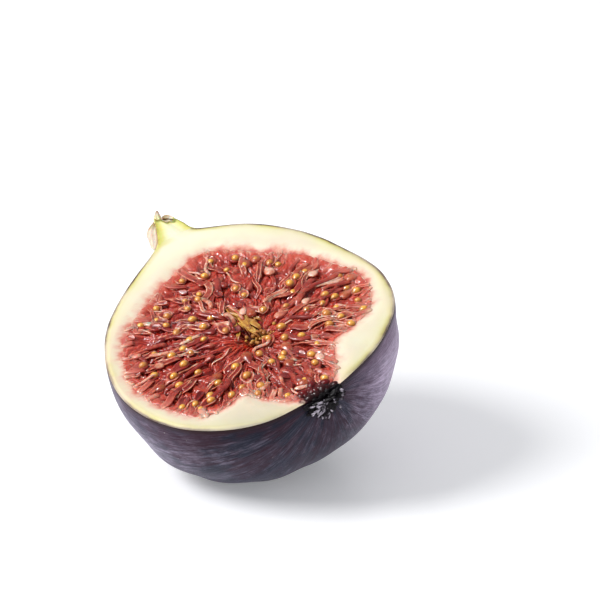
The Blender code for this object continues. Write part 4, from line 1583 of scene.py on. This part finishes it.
# %% [markdown]
# ## The stub of the stalk
#
# The stub grows out of the neck, narrows and ends in a torn rim. It was halved with the fruit, so it is a
# half tube closed by its cut face. Two smooth lines along its edges give its shape, and everything else is
# spanned between them. The torn end is uneven by a few waves across.

# %% The stub's edges
STUB_LEFT = ((-4.55, 60.4, 0), (-3.35, 63.6, 0), (-2.3, 67.0, 0), (-1.35, 70.6, 0))
STUB_RIGHT = ((4.75, 61.3, 0), (3.3, 63.4, 0), (2.75, 65.5, 0), (2.05, 67.5, 0))
STUB_ROWS, STUB_SIDES, STUB_COLUMNS = 30, 40, 32
THROUGH_STEPS = 30


def through(points, count):
    """A smooth line through a few points, evenly spaced."""
    corners = [np.array(point, float) for point in points]
    pieces = []
    for k in range(len(corners) - 1):
        before, after = corners[max(k - 1, 0)], corners[min(k + 2, len(corners) - 1)]
        start, end = corners[k], corners[k + 1]
        curve = bezier(start, start + (end - before) / 6, end - (after - start) / 6, end, THROUGH_STEPS)
        pieces.append(curve[:-1])
    return even_curve(np.concatenate([*pieces, corners[-1][None]]), count)[0]


stub_left, stub_right = through(STUB_LEFT, STUB_ROWS), through(STUB_RIGHT, STUB_ROWS)
stub_t = np.linspace(0.0, 1.0, STUB_ROWS)[:, None]
middle_line, half_line = (stub_left + stub_right) / 2, (stub_right - stub_left) / 2
half_width = np.linalg.norm(half_line, axis=1)[:, None]
print(f"the stub is, mm wide: {2 * half_width[-1, 0]:.1f} to {2 * half_width[0, 0]:.1f}")


# %% The stub
def stub_points(across, depth):
    """Points of the stub: across runs from -1, its left edge, to 1, and depth goes down from the cut."""
    points = middle_line[:, None] + half_line[:, None] * across[..., None]
    # the torn end sags in its middle and is uneven
    points[..., 1] -= 1.3 * np.cos(across * math.pi / 2) * stub_t**2
    points[..., 1] += 0.35 * np.sin(9 * across + 6 * depth) * stub_t**3
    # the back is a rough half round, and the cut face is a little wavy
    points[..., 2] -= depth * half_width * (1 + 0.05 * np.sin(11 * across))
    points[..., 2] += 0.10 * np.sin(5 * across + 4 * stub_t) * (1 - across**2) * (depth == 0)
    return points


stub_turn = np.linspace(math.pi, 2 * math.pi, STUB_SIDES)[None, :]
stub_out = stub_points(np.cos(stub_turn) + 0 * stub_t, -np.sin(stub_turn) + 0 * stub_t)
stub_out[:, [0, -1], 2] = 0.0
stub_across = np.linspace(-1.0, 1.0, STUB_COLUMNS)[None, :]
stub_cut = stub_points(stub_across + 0 * stub_t, 0 * stub_across + 0 * stub_t)
stub_cut[..., 2] += 0.02 - 0.8 * (1 - ease(0.0, 0.10, stub_t))
stub_cut[:, [0, -1], 2] = 0.0
from_side = (1 - np.abs(stub_across)) * half_width
from_top = (1 - stub_t) * 8.0
right_rim = 0.8 * (1 - ease(0.05, 0.40, from_side)) * (stub_across > 0)
torn_rim = 1.0 * ease(0.87, 0.96, stub_t) + 0 * stub_across

stub = Piece("stalk_stub")
stub.add(stub_out, inside=0.15, dry=0.8 * ease(0.8, 1.0, stub_t))
stub.add(stub_cut, inside=np.minimum(from_side, from_top + 0.1), dry=np.maximum(right_rim, torn_rim))
for row in (0, -1):
    middle = stub_cut[row].mean(0) - (0, 0.3, 0.8)
    for rim in (stub_out[row], stub_cut[row]):
        stub.add(np.stack([rim, np.broadcast_to(middle, rim.shape)]), inside=0.2, dry=0.6)
stub.make([stalk.material], ["stalk"])

# %% [markdown]
# ## The bracts
#
# Three dry bracts stand at the stub's end: one hangs down its left side, one points up, and one bends to
# the right. Two torn flaps of the stub's own rim stand between them. All are thin curved blades: a line
# from root to tip, and a width across it. Solidify on a single sheet would be quicker, but it would leave
# blunt edges and tips.

# %% The bracts
# spine from root to tip, side it spreads to, and then: half width, half thickness, cupping, and how dry
# it is at its root, middle and tip
HANGING = (((-1.2, 69.9, -0.5), (-2.9, 68.6, -0.8), (-3.7, 65.6, -0.9), (-4.8, 61.9, -0.7)), (1, -0.3, 0.3))
UPRIGHT = (((-0.9, 67.6, -0.5), (-0.8, 69.8, -0.4), (-0.4, 71.3, -0.2), (0.0, 72.5, -0.1)), (1, -0.3, -0.3))
BENT = (((0.1, 70.2, -0.55), (1.0, 69.8, -0.45), (2.0, 68.6, -0.45)), (0.66, 0.75, 0.0))
LEFT_FLAP = (((0.4, 66.8, -0.9), (0.7, 68.6, -0.8), (1.0, 70.5, -0.7)), (1, -0.2, 0))
RIGHT_FLAP = (((1.0, 66.2, -1.2), (2.0, 67.2, -1.2), (2.7, 67.5, -1.0)), (0.2, 0.3, 1))
BLADES_OF_STALK = (
    (*HANGING, 1.20, 0.12, -0.3, (0.95, 0.58, 0.55)),
    (*UPRIGHT, 0.95, 0.16, 0.4, (0.02, 0.12, 0.85)),
    (*BENT, 0.62, 0.24, 0.2, (1.05, 0.85, 0.10)),
    (*LEFT_FLAP, 1.60, 0.18, 0.2, (0.30, 0.66, 0.80)),
    (*RIGHT_FLAP, 0.8, 0.16, 0.3, (0.1, 0.2, 0.5)),
)


def leaf(piece, spine, side, half, thick, cup, drier, rows=22, columns=11):
    """A bract: a thin blade along its spine, pointed at the tip, cupped across, drier from root to tip."""
    line = through(spine, rows)
    t = np.linspace(0.0, 1.0, rows)[:, None]
    across = np.linspace(-1.0, 1.0, columns)[None, :]
    ahead = np.gradient(line, axis=0)
    facing = np.cross(ahead, np.array(side, float))
    facing /= np.linalg.norm(facing, axis=1)[:, None]
    beside = np.cross(facing, ahead)
    beside /= np.linalg.norm(beside, axis=1)[:, None]
    width = half * np.sqrt(np.clip(1 - t**2.2, 0, 1)) * (0.75 + 0.25 * ease(0.0, 0.3, t))
    bend = cup * width * across**2 + 0.10 * np.sin(8 * across + 5 * t)
    sheets = []
    for face_side in (1, -1):
        lifted = bend + face_side * thick * (1 - across**4) * (1 - 0.5 * t)
        spread = (across * width)[..., None] * beside[:, None]
        sheets.append(line[:, None] + spread + lifted[..., None] * facing[:, None])
    loop = np.concatenate([sheets[0], sheets[1][:, ::-1][:, 1:-1]], axis=1)
    ends = [np.broadcast_to(loop[row].mean(0), loop[row].shape)[None] for row in (0, -1)]
    along = np.concatenate([[0.0], t[:, 0], [1.0]])[:, None]
    root, middle, tip = drier
    dry = middle + (tip - middle) * along**3 + (root - middle) * np.exp(-((along / 0.22) ** 2))
    piece.add(np.concatenate([ends[0], loop, ends[1]]), closed=True, dry=dry)


bracts = Piece("stalk_bracts")
for shape in BLADES_OF_STALK:
    leaf(bracts, *shape)
bracts.make([bract.material])

# %% [markdown]
# ## The floor
#
# The fig lies on a plain white sheet. It is a single square, much larger than the view, so no edge of it
# shows. It is a little glossy, which gives the soft dark reflection under the skin, and it glows faintly,
# so that it stays white where the fig shades it only a little.

# %% Floor
FLOOR_HALF = 3.0  # metres

floor_finish = Finish(
    "floor_white",
    Base_Color=(0.90, 0.90, 0.91, 1.0),
    Roughness=0.28,
    Specular_IOR_Level=0.35,
    Emission_Color=(0.95, 0.97, 1.0, 1.0),
    Emission_Strength=0.22,
)
floor_corners = [(x * FLOOR_HALF, y * FLOOR_HALF, 0.0) for x, y in ((-1, -1), (1, -1), (1, 1), (-1, 1))]
floor_mesh = bpy.data.meshes.new("floor")
floor_mesh.from_pydata(floor_corners, [], [(0, 1, 2, 3)])
floor = bpy.data.objects.new("floor", floor_mesh)
floor_mesh.materials.append(floor_finish.material)
bpy.context.scene.collection.objects.link(floor)
print("floor, m wide:", 2 * FLOOR_HALF)

# %% [markdown]
# ## Light
#
# A wet fruit is shown best by soft light from above and behind: it draws each floret by its far edge. One
# broad lamp and a bright, even room do that. A second, small lamp gives the sharp glints on the wet pulp.
# It takes no part in the soft light, or it would print hard shadows on the floor.

# %% Light
ROOM_COLOUR, ROOM_STRENGTH = (0.97, 0.98, 1.0, 1.0), 0.58
SOFT_PLACE, SOFT_SIZE, SOFT_POWER = (-0.61, 0.16, 0.55), 0.45, 7.9
SPARKLE_PLACE, SPARKLE_SIZE, SPARKLE_POWER = (-0.38, 0.16, 0.62), 0.04, 6.5
LAMP_TARGET = (0.0, 0.0, 0.02)

world = bpy.data.worlds.new("studio")
world.use_nodes = True
room = world.node_tree.nodes["Background"]
room.inputs["Color"].default_value = ROOM_COLOUR
room.inputs["Strength"].default_value = ROOM_STRENGTH
bpy.context.scene.world = world


def lamp(name, place, size, power):
    """A round area lamp that faces the fig."""
    data = bpy.data.lights.new(name, "AREA")
    data.shape = "DISK"
    data.size = size
    data.energy = power
    made = bpy.data.objects.new(name, data)
    made.location = place
    made.rotation_euler = (Vector(LAMP_TARGET) - Vector(place)).to_track_quat("-Z", "Y").to_euler()
    bpy.context.scene.collection.objects.link(made)
    return made


lamp("soft_left", SOFT_PLACE, SOFT_SIZE, SOFT_POWER)
sparkle = lamp("sparkle", SPARKLE_PLACE, SPARKLE_SIZE, SPARKLE_POWER)
sparkle.visible_diffuse = False
print("lamps, m across:", SOFT_SIZE, "and", SPARKLE_SIZE)

# %% [markdown]
# ## Camera
#
# A long lens from some way off keeps the fruit's proportions true: a short one would swell the end that is
# near. The camera looks down a little and stands a little to the left of the core, so the whole cut shows,
# and the skin under it at the eye's end.

# %% Camera
ELEVATION, AZIMUTH = math.radians(21.0), math.radians(-23.8)
DISTANCE = 0.593  # metres
LENS, SENSOR = 200.0, 36.0
AIM = (0.0, 28.6, 0.0)  # a point on the cut, mm
AIM_RIGHT, AIM_UP = 9.5, 4.5  # how far beside and above that point the view is centred, mm

back = Vector(
    (
        math.sin(AZIMUTH) * math.cos(ELEVATION),
        -math.cos(AZIMUTH) * math.cos(ELEVATION),
        math.sin(ELEVATION),
    )
)
to_right = Vector((math.cos(AZIMUTH), math.sin(AZIMUTH), 0.0))
up = back.cross(to_right)
looked_at = Vector(placed(np.array(AIM))) + AIM_RIGHT * MM * to_right + AIM_UP * MM * up
camera_data = bpy.data.cameras.new("camera")
camera_data.lens = LENS
camera_data.sensor_width = SENSOR
camera = bpy.data.objects.new("camera", camera_data)
camera.location = looked_at + DISTANCE * back
camera.rotation_euler = back.to_track_quat("Z", "Y").to_euler()
bpy.context.scene.collection.objects.link(camera)
bpy.context.scene.camera = camera
bpy.context.scene.view_settings.view_transform = "Standard"
print("camera at, m:", [round(value, 3) for value in camera.location])

# %% [markdown]
